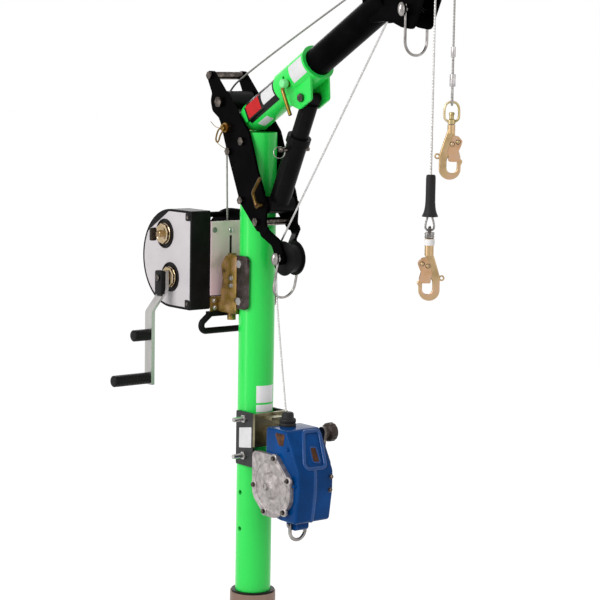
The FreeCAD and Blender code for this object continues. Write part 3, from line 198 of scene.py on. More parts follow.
finishSpec = {
    "greenPaint": dict(tints=tints((0.024, 0.74, 0.092), 0.96, 1.04), rough=(0.2, 0.28), specular=0.35,
        grainScale=700.0, bump=0.03, driftScale=6.0),
    "blackPaint": dict(tints=tints((0.0016, 0.0013, 0.0016), 0.6, 1.8), rough=(0.26, 0.38),
        specular=0.012, grainScale=900.0, bump=0.12, driftScale=25.0),
    "tubeBlack": dict(tints=tints((0.0042, 0.0036, 0.0038), 0.7, 1.5), rough=(0.28, 0.4), specular=0.05,
        grainScale=900.0, bump=0.1, driftScale=25.0),
    "duskZinc": dict(tints=[(0.035, 0.022, 0.006), (0.085, 0.052, 0.014), (0.13, 0.07, 0.03)],
        rough=(0.24, 0.4), metal=1.0, driftScale=40.0),
    "capBrown": dict(tints=[(0.006, 0.004, 0.002), (0.018, 0.012, 0.006), (0.06, 0.038, 0.014)],
        rough=(0.24, 0.38), metal=0.6, specular=0.3, driftScale=120.0),
    "plugGrey": dict(tints=tints((0.15, 0.2, 0.155), 0.85, 1.15), rough=(0.4, 0.55), specular=0.2,
        driftScale=90.0),
    "hubBrass": dict(tints=[(0.36, 0.26, 0.13), (0.5, 0.39, 0.24), (0.54, 0.4, 0.3)],
        rough=(0.18, 0.32), metal=1.0, grainScale=500.0, driftScale=50.0),
    "paleGreen": dict(tints=tints((0.2, 0.78, 0.28), 0.92, 1.06), rough=(0.24, 0.34), specular=0.3,
        driftScale=60.0, bump=0.03),
    "hookBrass": dict(tints=[(0.36, 0.25, 0.125), (0.48, 0.335, 0.18), (0.53, 0.345, 0.22)],
        rough=(0.24, 0.4), metal=1.0, grainScale=500.0, driftScale=30.0, bump=0.1),
    "goldZinc": dict(tints=[(0.17, 0.1, 0.018), (0.31, 0.185, 0.045), (0.36, 0.17, 0.085)],
        rough=(0.26, 0.42), metal=1.0, grainScale=500.0, driftScale=26.0, bump=0.08),
    "oliveZinc": dict(tints=[(0.11, 0.1, 0.05), (0.24, 0.22, 0.135), (0.33, 0.28, 0.2)],
        rough=(0.28, 0.44), metal=1.0, driftScale=24.0),
    "plumZinc": dict(tints=[(0.044, 0.036, 0.022), (0.076, 0.06, 0.058), (0.16, 0.12, 0.12)],
        rough=(0.24, 0.4), metal=1.0, driftScale=34.0),
    "silverSteel": dict(tints=tints((0.47, 0.46, 0.445), 0.84, 1.15), rough=(0.24, 0.4), metal=1.0,
        stretch=(1, 1, 0.15), grainScale=900.0, driftScale=30.0),
    # mount plate's steel: its pale beige is lightened against the shade it sits in and pinked against the
    # mast's green light on it, painted light
    "platedSteelPaintedLight": dict(tints=[(0.62, 0.51, 0.47), (0.88, 0.67, 0.7), (0.92, 0.66, 0.72)],
        rough=(0.4, 0.56), metal=0.08, specular=0.25, grainScale=700.0, driftScale=17.0),
    "latchGold": dict(tints=[(0.055, 0.034, 0.01), (0.3, 0.19, 0.04), (0.44, 0.26, 0.14)],
        rough=(0.2, 0.36), metal=0.55, specular=0.4, driftScale=34.0, bump=0.1),
    "leverZinc": dict(tints=[(0.1, 0.068, 0.01), (0.19, 0.125, 0.02), (0.25, 0.14, 0.05)],
        rough=(0.24, 0.4), metal=1.0, driftScale=40.0),
    "gateBrass": dict(tints=[(0.44, 0.26, 0.13), (0.56, 0.34, 0.2), (0.5, 0.36, 0.26)],
        rough=(0.22, 0.38), metal=1.0, grainScale=500.0, driftScale=45.0, bump=0.1),
    "bailSteel": dict(tints=tints((0.27, 0.255, 0.245), 0.55, 1.6), rough=(0.16, 0.28), metal=1.0,
        driftScale=38.0),
    "ringWhite": dict(tints=tints((0.84, 0.83, 0.82), 0.97, 1.03), rough=(0.26, 0.36), specular=0.3,
        bump=0.02),
    "housingBlack": dict(tints=tints((0.0075, 0.0072, 0.0072), 0.7, 1.5), rough=(0.34, 0.48),
        specular=0.06, grainScale=800.0, bump=0.1, driftScale=22.0),
    "darkSteel": dict(tints=[(0.035, 0.03, 0.027), (0.09, 0.076, 0.068), (0.24, 0.2, 0.17)],
        rough=(0.18, 0.32), metal=1.0, driftScale=110.0),
    "greyPaint": dict(tints=tints((0.036, 0.036, 0.037), 0.85, 1.2), rough=(0.38, 0.52), specular=0.15,
        grainScale=800.0, bump=0.1, driftScale=20.0),
    "ropeSteel": dict(tints=tints((0.27, 0.255, 0.245), 0.7, 1.3), rough=(0.3, 0.46), metal=0.9,
        grainScale=1500.0, driftScale=160.0),
    "lifelineSteel": dict(tints=tints((0.52, 0.51, 0.5), 0.75, 1.2), rough=(0.28, 0.44), metal=0.9,
        grainScale=1500.0, driftScale=160.0),
    "crimpSteel": dict(tints=tints((0.4, 0.385, 0.38), 0.7, 1.35), rough=(0.2, 0.34), metal=1.0,
        driftScale=90.0),
    "bowZinc": dict(tints=[(0.22, 0.16, 0.065), (0.44, 0.35, 0.17), (0.56, 0.46, 0.3)],
        rough=(0.18, 0.32), metal=1.0, driftScale=40.0),
    "stickerWhite": dict(tints=tints((0.7, 0.69, 0.7), 0.94, 1.04), rough=(0.3, 0.4), specular=0.3,
        grainScale=600.0, bump=0.02, driftScale=40.0),
    # lighter copy of the sticker white for the mast's stickers, which sit on its shaded side: painted light
    "stickerWhitePaintedLight": dict(tints=tints((0.95, 0.93, 0.95), 0.96, 1.03), rough=(0.3, 0.4), specular=0.4,
        grainScale=600.0, bump=0.02, driftScale=40.0),
    "bandBlack": dict(tints=tints((0.0055, 0.0048, 0.0055), 0.8, 1.3), rough=(0.26, 0.36), specular=0.18,
        bump=0.02, driftScale=40.0),
    "blockRed": dict(tints=tints((0.52, 0.008, 0.01), 0.9, 1.08), rough=(0.28, 0.38), specular=0.2,
        bump=0.02, driftScale=40.0),
    "whitePlate": dict(tints=tints((0.545, 0.515, 0.53), 0.95, 1.05), rough=(0.34, 0.44),
        grainScale=900.0, bump=0.02, specular=0.3),
    "bluePaint": dict(tints=tints((0.0003, 0.049, 0.2), 0.78, 1.45), rough=(0.12, 0.2), specular=0.08,
        grainScale=420.0, bump=0.08, driftScale=10.0),
    "castGrey": dict(tints=[(0.24, 0.215, 0.215), (0.35, 0.32, 0.315), (0.49, 0.445, 0.44)],
        rough=(0.36, 0.56), metal=0.7, grainScale=190.0, driftScale=85.0, bump=0.7, bumpDepth=0.0016),
    "blackPlastic": dict(tints=tints((0.0065, 0.0058, 0.006), 0.7, 1.6), rough=(0.36, 0.5),
        specular=0.12, grainScale=700.0, bump=0.14),
    "blackRubber": dict(tints=tints((0.01, 0.009, 0.009), 0.7, 1.4), rough=(0.5, 0.66), specular=0.25,
        grainScale=520.0, bump=0.2),
    "brownPlastic": dict(tints=[(0.02, 0.012, 0.009), (0.034, 0.021, 0.016), (0.05, 0.032, 0.024)],
        rough=(0.36, 0.5), specular=0.25, grainScale=500.0, bump=0.14),
    "sleeveSteel": dict(tints=[(0.16, 0.1, 0.075), (0.23, 0.15, 0.115), (0.29, 0.2, 0.155)],
        rough=(0.38, 0.55), metal=0.6, grainScale=300.0, driftScale=9.0, bump=0.1),
    "blueGloss": dict(tints=tints((0.0005, 0.06, 0.24), 0.8, 1.2), rough=(0.14, 0.22), specular=0.35,
        bump=0.04),
    "rustBrown": dict(tints=[(0.03, 0.01, 0.004), (0.075, 0.026, 0.008), (0.11, 0.045, 0.016)],
        rough=(0.4, 0.55), specular=0.15, driftScale=90.0),
    "sheavePlastic": dict(tints=tints((0.006, 0.006, 0.0065), 0.75, 1.4), rough=(0.32, 0.46),
        specular=0.08, grainScale=650.0, bump=0.08)}
finishes = {name: makeFinish(name, spec) for name, spec in finishSpec.items()}
slotFinish = {
    "green_paint": "greenPaint", "black_paint": "blackPaint", "yellow_zinc": "goldZinc",
    "silver_steel": "silverSteel", "dark_steel": "darkSteel", "rope_steel": "ropeSteel",
    "white_plate": "whitePlate", "blue_paint": "bluePaint", "cast_grey": "castGrey",
    "black_plastic": "blackPlastic", "black_rubber": "blackRubber", "sleeve_steel": "sleeveSteel",
    "sheave_plastic": "sheavePlastic"}
nodeFinish = {
    "winch_hook": "hookBrass", "winch_hook_gate": "gateBrass", "lifeline_hook": "hookBrass",
    "lifeline_hook_gate": "gateBrass", "winch_mount_plate": "platedSteelPaintedLight",
    "winch_clamp_plates": "plumZinc", "lifeline_side_plates": "greyPaint",
    "lifeline_cross_plate": "oliveZinc", "lifeline_crank_arm": "darkSteel", "strut_lock_pin": "darkSteel",
    "head_lock_pin": "bailSteel", "foot_lock_pin": "bailSteel", "lifeline_ring": "bailSteel",
    "boom_lock_knob": "leverZinc", "winch_latch": "latchGold", "strut_pivot_pin": "duskZinc",
    "strut_lower": "tubeBlack", "strut_upper": "tubeBlack", "winch_housing": "housingBlack",
    "winch_carry_handle": "housingBlack"}


def dressNodes():
    for part in frame["record"]["subparts"]:
        name = part["node"]
        mesh = nodes[name].data
        mesh.materials.clear()
        mesh.materials.append(finishes[nodeFinish.get(name, slotFinish[part["material_slot"]])])


dressNodes()
print("finishes on the nodes")


# ways that many pieces face: the near side, the boom's head, the sky
toNear, toHead, toSky = (0, -1, 0), (1, 0, 0), (0, 0, 1)
mergeGap = 1e-6
crease = {"plain": 35.0, "hex": 25, "soft": 50, "rope": 70, "flute": 40, "rim": 32}  # degrees


# finished mesh: smooth with sharp creases, in its finish, over the nodes that it replaces, on its body
def placeMesh(name, mesh, finish, body, replaced, sharp):
    mesh.materials.append(finishes[finish])
    mesh.shade_smooth()
    mesh.set_sharp_from_angle(angle=math.radians(sharp))
    piece = bpy.data.objects.new(name, mesh)
    bpy.context.scene.collection.objects.link(piece)
    if replaced:
        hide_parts(*replaced)
    if body:
        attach(piece, body)
    return piece


# surface to mesh: points as whole arrays, doubles merged, faces turned outwards
def putPiece(name, surface, finish, body=None, replaced=(), sharp=crease["plain"]):
    points, faces = surface
    mesh = bpy.data.meshes.new(name)
    mesh.from_pydata(np.asarray(points).reshape(-1, 3).tolist(), [], faces)
    shell = bmesh.new()
    shell.from_mesh(mesh)
    bmesh.ops.remove_doubles(shell, verts=shell.verts, dist=mergeGap)
    bmesh.ops.recalc_face_normals(shell, faces=shell.faces)
    shell.to_mesh(mesh)
    shell.free()
    return placeMesh(name, mesh, finish, body, replaced, sharp)


# quads between neighbouring rows and columns, round again where a way is closed
def gridFaces(rows, cols, roundRows=False):
    r = np.arange(rows if roundRows else rows - 1)[:, None]
    c = np.arange(cols)[None, :]
    nextRow, nextCol = (r + 1) % rows, (c + 1) % cols
    quads = np.stack([r * cols + c, r * cols + nextCol, nextRow * cols + nextCol, nextRow * cols + c], -1)
    return quads.reshape(-1, 4).tolist()


# the same grid with its first and last rows closed by a face each
def capped(rows, cols):
    ends = [list(range(cols))[::-1], list(range((rows - 1) * cols, rows * cols))]
    return gridFaces(rows, cols) + ends


# several surfaces as one: each one's faces count on from the points before it
def joined(*surfaces):
    starts = np.cumsum([0] + [len(points) for points, faces in surfaces[:-1]])
    points = np.concatenate([points for points, faces in surfaces])
    faces = []
    for first, (own, rows) in zip(starts, surfaces):
        faces += [[int(i + first) for i in face] for face in rows]
    return points, faces


def unit(vector):
    vector = np.asarray(vector, float)
    return vector / np.linalg.norm(vector, axis=-1, keepdims=True)


# profile carried along a path: path point + side * profile x + normal * profile y, turned by the twist there
def carry(path, profile, normal, twist=0.0, closed=False):
    path, profile = np.asarray(path, float), np.asarray(profile, float)
    ahead = np.roll(path, -1, 0) - np.roll(path, 1, 0) if closed else np.gradient(path, axis=0)
    ahead = unit(ahead)
    side = unit(np.cross(ahead, np.asarray(normal, float)))
    lift = np.cross(side, ahead)
    turn = (np.zeros(len(path)) + twist)[:, None]
    across = profile[:, 0] * np.cos(turn) - profile[:, 1] * np.sin(turn)
    upward = profile[:, 0] * np.sin(turn) + profile[:, 1] * np.cos(turn)
    points = path[:, None] + across[..., None] * side[:, None] + upward[..., None] * lift[:, None]
    rows, cols = across.shape
    return points.reshape(-1, 3), gridFaces(rows, cols, True) if closed else capped(rows, cols)


# even angles once round, and an oval profile: x = wide cos a, y = high sin a
def onceRound(steps):
    return np.linspace(0, 2 * math.pi, steps, endpoint=False)


def ovalProfile(wide, high, steps):
    a = onceRound(steps)
    return np.stack([wide * np.cos(a), high * np.sin(a)], -1)


def ringProfile(radius, steps=12):
    return ovalProfile(radius, radius, steps)


# outline (radius, height, flatness) turned about an axis: flatness draws the round towards a polygon
def turned(outline, place, axis, steps=48, sides=6, start=0.0, loop=False):
    outline = np.array([tuple(row) + (0.0,) * (3 - len(row)) for row in outline])
    axis = unit(axis)
    first = unit(np.cross(axis, (0.0, 0.0, 1.0) if abs(axis[2]) < 0.9 else (1.0, 0.0, 0.0)))
    second = np.cross(axis, first)
    angle = onceRound(steps)
    flat = math.cos(math.pi / sides) / np.cos(angle % (2 * math.pi / sides) - math.pi / sides)
    radius = outline[:, :1] * (1 - outline[:, 2:] + outline[:, 2:] * flat[None])
    spoke = np.cos(angle + start)[:, None] * first + np.sin(angle + start)[:, None] * second
    points = np.asarray(place, float) + radius[..., None] * spoke[None] + outline[:, 1, None, None] * axis
    return points.reshape(-1, 3), gridFaces(len(outline), steps, loop)


# one turned outline set at several places
def turnedAt(outline, places, axis, steps):
    return joined(*[turned(outline, place, axis, steps) for place in places])


# corners of an upright box about the middle, each with its radius
def boxCorners(wide, high, radius):
    return [(-wide, -high, radius), (wide, -high, radius), (wide, high, radius), (-wide, high, radius)]


# corners (x, y, radius) rounded to an outline: each corner's arc between its two tangent points
def rounded(corners, steps=6):
    corners = np.asarray(corners, float)
    here, size = corners[:, :2], corners[:, 2]
    back, ahead = unit(np.roll(here, 1, 0) - here), unit(np.roll(here, -1, 0) - here)
    half = np.arccos(np.clip((back * ahead).sum(1), -1, 1)) / 2
    centre = here + unit(back + ahead) * (size / np.sin(half))[:, None]
    from0 = here + back * (size / np.tan(half))[:, None] - centre
    to0 = here + ahead * (size / np.tan(half))[:, None] - centre
    share = np.linspace(0, 1, steps)[None, :, None]
    sweep = (math.pi - 2 * half)[:, None, None]
    safe = np.maximum(np.sin(sweep), 1e-9)
    arc = np.sin((1 - share) * sweep) / safe * from0[:, None] + np.sin(share * sweep) / safe * to0[:, None]
    return (centre[:, None] + arc).reshape(-1, 2)


# outline carried through its thickness, drawn in by the edge radius at both faces
def slab(outline, thick, edge, place, across, upward):
    outline = np.asarray(outline, float)
    into, outof = unit(outline - np.roll(outline, 1, 0)), unit(np.roll(outline, -1, 0) - outline)
    n0, n1 = np.stack([into[:, 1], -into[:, 0]], -1), np.stack([outof[:, 1], -outof[:, 0]], -1)
    mitre = (n0 + n1) / (1 + (n0 * n1).sum(1))[:, None]
    bend = np.linspace(0, math.pi / 2, 4)
    draw = np.concatenate([1 - np.sin(bend), 1 - np.cos(bend)]) * edge
    height = np.concatenate([(1 - np.cos(bend)) * edge, thick - edge + np.sin(bend) * edge])
    flat = outline[None] - mitre[None] * draw[:, None, None]
    across, upward = unit(across), unit(upward)
    points = (np.asarray(place, float) + flat[..., :1] * across + flat[..., 1:] * upward
              + height[:, None, None] * np.cross(across, upward))
    return points.reshape(-1, 3), capped(len(draw), len(outline))


# slab that faces the near side
def nearSlab(outline, thick, edge, place):
    return slab(outline, thick, edge, place, toHead, toSky)


# sheet bent round a tube, a function of the place along it and the angle: radius + rise, its rim closed
sheetGrid = {"along": 32, "around": 64, "rimThin": 0.4}


def tubeSheet(place, axis, zero, spec, along, rise=None):
    cols, rows = sheetGrid["along"], sheetGrid["around"]
    axis, zero = unit(axis), unit(zero)
    third = np.cross(axis, zero)
    reach = np.linspace(along[0], along[1], cols)
    angle = np.radians(np.linspace(*spec["around"], rows))[:, None]
    under = spec["radius"] + (rise(reach[None], angle) if rise else np.zeros((rows, cols)))
    full = np.ones(cols)
    full[[0, -1]] -= sheetGrid["rimThin"]
    over = under + spec["thick"] * full
    r = np.concatenate([over, under[:, ::-1]], 1)[..., None]
    far = np.concatenate([reach, reach[::-1]])[None, :, None]
    spoke = np.cos(angle) * zero + np.sin(angle) * third
    points = np.asarray(place, float) + r * spoke[:, None] + far * axis
    return points.reshape(-1, 3), capped(rows, 2 * cols)


# route laid as a NURBS spline through its given control points, read back as points
def routeLine(name, stops, steps):
    curve = bpy.data.curves.new(name, "CURVE")
    curve.dimensions = "3D"
    curve.resolution_u = steps
    spline = curve.splines.new("NURBS")
    spline.points.add(len(stops) - 1)
    spline.points.foreach_set("co", np.c_[np.asarray(stops, float), np.ones(len(stops))].ravel())
    spline.order_u = 3
    spline.use_endpoint_u = True
    spline.resolution_u = steps
    holder = bpy.data.objects.new(name, curve)
    bpy.context.scene.collection.objects.link(holder)
    mesh = bpy.data.meshes.new_from_object(holder)
    line = np.empty(len(mesh.vertices) * 3)
    mesh.vertices.foreach_get("co", line)
    bpy.data.objects.remove(holder)
    bpy.data.meshes.remove(mesh)
    bpy.data.curves.remove(curve)
    return line.reshape(-1, 3)


# laid wire rope: six round lobes, r = R (1 - d + d |cos 3a|), turning once in each lay along the line
def strandedRope(line, spec, normal):
    a = onceRound(spec["around"])
    r = spec["radius"] * (1 - spec["groove"] + spec["groove"] * np.abs(np.cos(3 * a)))
    step = np.linalg.norm(np.diff(line, axis=0), axis=1)
    twist = 2 * math.pi * np.concatenate([[0], np.cumsum(step)]) / spec["lay"]
    return carry(line, np.stack([r * np.cos(a), r * np.sin(a)], -1), normal, twist)


ropeY = -0.011
ropeSide = (0, 1, 0)
ropeSpec = {
    "radius": 0.0024, "groove": 0.22, "lay": 0.04, "around": 24, "steps": 150, "eyeSteps": 24}
# winch rope: up from the drum, round the mast roller, over the knee and the top head sheave
winchStops = [(-0.108, 1.09), (-0.1191, 1.448), (-0.1198, 1.4856), (-0.1142, 1.4976),
    (-0.063, 1.541), (0.62, 1.8598), (0.6551, 1.8762), (0.6725, 1.8751), (0.6872, 1.8657),
    (0.6956, 1.8504), (0.6956, 1.8417)]
# lifeline: out of the reel's neck, over the foot sheave and the low head sheave
lifelineStops = [(0.1365, 0.736), (0.0945, 0.985), (0.0891, 1.079), (0.0881, 1.1219), (0.1117, 1.1554),
    (0.5442, 1.7689), (0.5674, 1.8019), (0.586, 1.8109), (0.6066, 1.8098), (0.6242, 1.7988),
    (0.6342, 1.7807), (0.6342, 1.7704)]


# each rope's nodes, and the two places between which it bends with the boom
ropeRuns = {
    "winchRope": {
        "stops": winchStops, "finish": "ropeSteel", "bend": [(-0.117, 1.49), (-0.06, 1.543)],
        "nodes": ("winch_rope_rise", "winch_rope_boom")},
    "lifelineRope": {
        "stops": lifelineStops, "finish": "lifelineSteel", "bend": [(0.094, 1.131), (0.272, 1.383)],
        "nodes": ("lifeline_rise", "lifeline_boom")}}


def onRopePlane(stops):
    return [(x, ropeY, z) for x, z in stops]


def makeRopes(runs):
    for name, own in runs.items():
        line = routeLine(name, onRopePlane(own["stops"]), ropeSpec["steps"])
        rope = putPiece(name, strandedRope(line, ropeSpec, ropeSide), own["finish"],
                        replaced=own["nodes"], sharp=crease["rope"])
        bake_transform(rope)


makeRopes(ropeRuns)
print("ropes laid")


# hanging ends: rope, crimped eye, bow and barrel above each hook
hookTurn = math.radians(51.5)
fallSpec = {
    "winch": {
        "x": 0.6956, "finish": "ropeSteel", "eyeTurn": math.pi / 2, "wire": 0.0027,
        "rope": (1.8417, 1.7, 1.597),
        "crimps": [(1.597, 1.62, 0.005), (1.534, 1.561, 0.0062)],
        "eye": [(-0.003, 1.6), (-0.003, 1.56), (-0.0032, 1.528), (-0.0078, 1.512), (-0.0078, 1.4943),
            (0.0078, 1.4943), (0.0078, 1.512), (0.0032, 1.528), (0.003, 1.56), (0.003, 1.6)],
        "bow": [(-0.003, 1.4575), (-0.015, 1.46), (-0.0166, 1.478), (-0.014, 1.4965), (0, 1.50277),
            (0.014, 1.4965), (0.0166, 1.478), (0.015, 1.46), (0.003, 1.4575)],
        "barrel": [(0, 1.452), (0.0068, 1.452), (0.0085, 1.4535), (0.0085, 1.4625), (0.0066, 1.464),
            (0.005, 1.464), (0.005, 1.4725), (0.0062, 1.473), (0.0062, 1.477), (0.0048, 1.479),
            (0, 1.479)]},
    "lifeline": {
        "x": 0.6342, "finish": "lifelineSteel", "eyeTurn": 0.0, "wire": 0.0033,
        "rope": (1.7704, 1.5, 1.256),
        "eye": [(-0.0036, 1.262), (-0.0042, 1.248), (-0.0096, 1.232), (-0.0096, 1.217), (0.0096, 1.217),
            (0.0096, 1.232), (0.0042, 1.248), (0.0036, 1.262)],
        "bow": [(-0.008, 1.208), (-0.008, 1.216), (-0.008, 1.2239), (0.008, 1.2239), (0.008, 1.216),
            (0.008, 1.208)],
        "cap": [(0, 1.199), (0.0095, 1.199), (0.011, 1.2005), (0.011, 1.2045), (0.01, 1.205),
            (0.01, 1.2065), (0.011, 1.207), (0.011, 1.212), (0.0095, 1.2135), (0, 1.2135)],
        "ring": [(0.0102, 1.1835), (0.0112, 1.1835), (0.012, 1.1845), (0.012, 1.1965), (0.0112, 1.1975),
            (0.0102, 1.1975)]}}


crimpSpec = {"wide": 1.62, "round": 0.99, "edge": 0.0012}


# ways of a hanging piece that is turned about the rope: along its plane and across it
def turnedWays(turn):
    return (math.cos(turn), math.sin(turn), 0), (-math.sin(turn), math.cos(turn), 0)


def hung(x, turn, stops):
    return [(x + a * math.cos(turn), ropeY + a * math.sin(turn), z) for a, z in stops]


def hungWire(name, x, turn, stops, radius):
    line = routeLine(name, hung(x, turn, stops), steps=16)
    return carry(line, ringProfile(radius), turnedWays(turn)[1])


# two-lobed pressed crimp: a stadium outline carried down the rope with rounded ends
def crimp(x, turn, low, high, half):
    outline = rounded(boxCorners(crimpSpec["wide"] * half, half, half * crimpSpec["round"]), steps=8)
    return slab(outline, high - low, crimpSpec["edge"], (x, ropeY, low), *turnedWays(turn))


def makeFallRope(key, spec):
    x, turn, body = spec["x"], hookTurn + spec["eyeTurn"], key + "_fall"
    line = routeLine(key + "FallRope", [(x, ropeY, z) for z in spec["rope"]], ropeSpec["steps"])
    putPiece(key + "FallRope", strandedRope(line, ropeSpec, ropeSide), spec["finish"], body,
             (key + "_line",), crease["rope"])
    eye = routeLine(key + "Eye", hung(x, turn, spec["eye"]), ropeSpec["eyeSteps"])
    putPiece(key + "Eye", strandedRope(eye, ropeSpec, turnedWays(turn)[1]), "ropeSteel", body,
             sharp=crease["rope"])


def makeWinchFall(spec):
    x, foot = spec["x"], (spec["x"], ropeY, 0)
    makeFallRope("winch", spec)
    crimps = [crimp(x, hookTurn + spec["eyeTurn"], *size) for size in spec["crimps"]]
    putPiece("winchCrimps", joined(*crimps), "crimpSteel", "winch_fall")
    bow = hungWire("winchBow", x, hookTurn, spec["bow"], spec["wire"])
    putPiece("winchBow", bow, "bowZinc", "winch_fall")
    barrel = turned(spec["barrel"], foot, toSky, steps=32)
    putPiece("winchBarrel", barrel, "bowZinc", "winch_fall")


def makeLifelineFall(spec):
    x, foot = spec["x"], (spec["x"], ropeY, 0)
    makeFallRope("lifeline", spec)
    bow = hungWire("lifelineBow", x, hookTurn + math.pi / 2, spec["bow"], spec["wire"])
    putPiece("lifelineBow", bow, "darkSteel", "lifeline_fall")
    cap = turned(spec["cap"], foot, toSky, steps=36)
    putPiece("lifelineCap", cap, "bailSteel", "lifeline_fall")
    ring = turned(spec["ring"], foot, toSky, steps=40, loop=True)
    putPiece("lifelineWhiteRing", ring, "ringWhite", "lifeline_hook")


makeWinchFall(fallSpec["winch"])
makeLifelineFall(fallSpec["lifeline"])
print("hanging ends made")


# bare stickers and the black band round the boom's fork tube
tilt = math.radians(30)
boomAxis = (math.cos(tilt), 0, math.sin(tilt))
pivot = (-0.062, 0, 1.417)
labelSpec = {
    "band": {"radius": 0.039, "along": (0.069, 0.1925), "around": (-50, 40), "thick": 0.0007},
    "red": {"radius": 0.0397, "along": (0.0755, 0.13), "around": (-31, 22), "thick": 0.0004},
    "panel": {"radius": 0.0397, "along": (0.1395, 0.1885), "around": (-27, 18), "thick": 0.0004},
    "under": {"radius": 0.039, "along": (0.082, 0.121), "around": (54, 84), "thick": 0.0005},
    "socket": {"radius": 0.04445, "along": (0.268, 0.322), "around": (-25, 32), "thick": 0.0005},
    "mast": {
        "radius": 0.04445, "along": [(0.7435, 0.786), (0.7205, 0.7385)], "around": (-35, 32),
        "thick": 0.0005},
    "cheek": {"flat": 0.0393, "tube": 0.039, "low": (-27, -21), "high": (26, 32), "weld": (0.1305, 0.1355)},
    "bracket": {
        "corners": [(0.0035, 0.63, 0.002), (0.0525, 0.637, 0.002), (0.0525, 0.688, 0.002),
            (0.0035, 0.68, 0.002)],
        "thick": 0.0006, "edge": 0.0002, "y": -0.05145}}


def eased(value, low, high):
    t = np.clip((value - low) / (high - low), 0, 1)
    return t * t * (3 - 2 * t)


# the fork's cheek stands proud of the tube: r = R / cos a across its flat, eased off at its edges and weld
def cheekRise(along, angle):
    own = labelSpec["cheek"]
    flat = eased(angle, *np.radians(own["low"])) * (1 - eased(angle, *np.radians(own["high"])))
    return (own["flat"] / np.cos(angle) - own["tube"]) * flat * (1 - eased(along, *own["weld"]))


def makeLabels(spec):
    sheets = (("forkBand", "band", "bandBlack", "black_paint"),
              ("forkRedBlock", "red", "blockRed", "black_paint"),
              ("forkPanel", "panel", "stickerWhite", "white_plate"),
              ("forkUnderSticker", "under", "stickerWhite", "white_plate"),
              ("socketSticker", "socket", "stickerWhite", "white_plate"))
    for name, key, finish, slot in sheets:
        rise = None if key == "socket" else cheekRise
        sheet = tubeSheet(pivot, boomAxis, toNear, spec[key], spec[key]["along"], rise)
        putPiece(name, sheet, finish, "boom")
    own = spec["mast"]
    pair = [tubeSheet((0, 0, 0), toSky, toHead, own, along) for along in own["along"]]
    # the mast's stickers take the lighter sticker white, painted light against the shade on that side of the
    # mast
    putPiece("mastStickers", joined(*pair), "stickerWhitePaintedLight", "mast")
    own = spec["bracket"]
    plate = nearSlab(rounded(own["corners"]), own["thick"], own["edge"], (0, own["y"], 0))
    putPiece("bracketSticker", plate, "stickerWhite", "mast")


makeLabels(labelSpec)
print("stickers on")


# winch front: black wells, flatted brass hubs, a winged cap on its stem, the crank's cap and nut,
# corner pockets with screws and a black segment at the face's upper rear
hubSpec = {
    "free": (-0.211, 1.148), "crank": (-0.186, 1.041), "face": -0.13,
    "well": [(0.0255, 0.0), (0.037, 0.0), (0.037, 0.0016), (0.0352, 0.0034), (0.0336, 0.0028),
        (0.0322, -0.0012), (0.0262, -0.0022)],
    "freeHub": [(0, -0.003), (0.0245, -0.003), (0.0258, 0.001), (0.0258, 0.0032), (0.0246, 0.0042),
        (0.0262, 0.005, 1), (0.0262, 0.0106, 1), (0.024, 0.013, 1), (0.0185, 0.0136), (0.0175, 0.0128),
        (0.011, 0.0128), (0, 0.013)],
    "stem": [(0, 0.012), (0.009, 0.012), (0.009, 0.0215), (0.0078, 0.0225), (0.0078, 0.033),
        (0, 0.033)],
    "wing": {"size": (0.0066, 0.0165, 0.004), "from": 0.029, "thick": 0.015, "edge": 0.0028},
    "crankHub": [(0, -0.026), (0.0118, -0.026), (0.012, -0.003), (0.024, 0.0006), (0.0258, 0.0018),
        (0.0258, 0.0038), (0.0246, 0.0046), (0.0262, 0.0054, 1), (0.0262, 0.01, 1), (0.0244, 0.012, 1),
        (0.019, 0.0124), (0.012, 0.0124), (0.0118, 0.015), (0, 0.015)],
    "cap": {
        "corners": [(-0.0145, -0.043, 0.003), (0.0145, -0.043, 0.003), (0.0145, 0.018, 0.006),
            (-0.0145, 0.018, 0.006)],
        "thick": 0.013, "edge": 0.0022, "y": -0.155},
    "nut": [(0, 0), (0.0085, 0, 1), (0.0085, 0.0035, 1), (0.007, 0.005, 1), (0, 0.0052)],
    "nutY": -0.168,
    "pockets": [(-0.1135, 1.1955), (-0.1135, 0.9805)],
    "pocket": (0.0095, 0.0095, 0.003), "pocketThick": 0.001, "softEdge": 0.0003,
    "segment": {"centre": (-0.184, 1.088), "radius": 0.1174, "from": 95.8, "to": 147.8, "thick": 0.0008},
    "screw": [(0, 0.0), (0.0044, 0.0), (0.0046, 0.0016), (0.0036, 0.0026), (0.0012, 0.0028), (0, 0.0012)]}


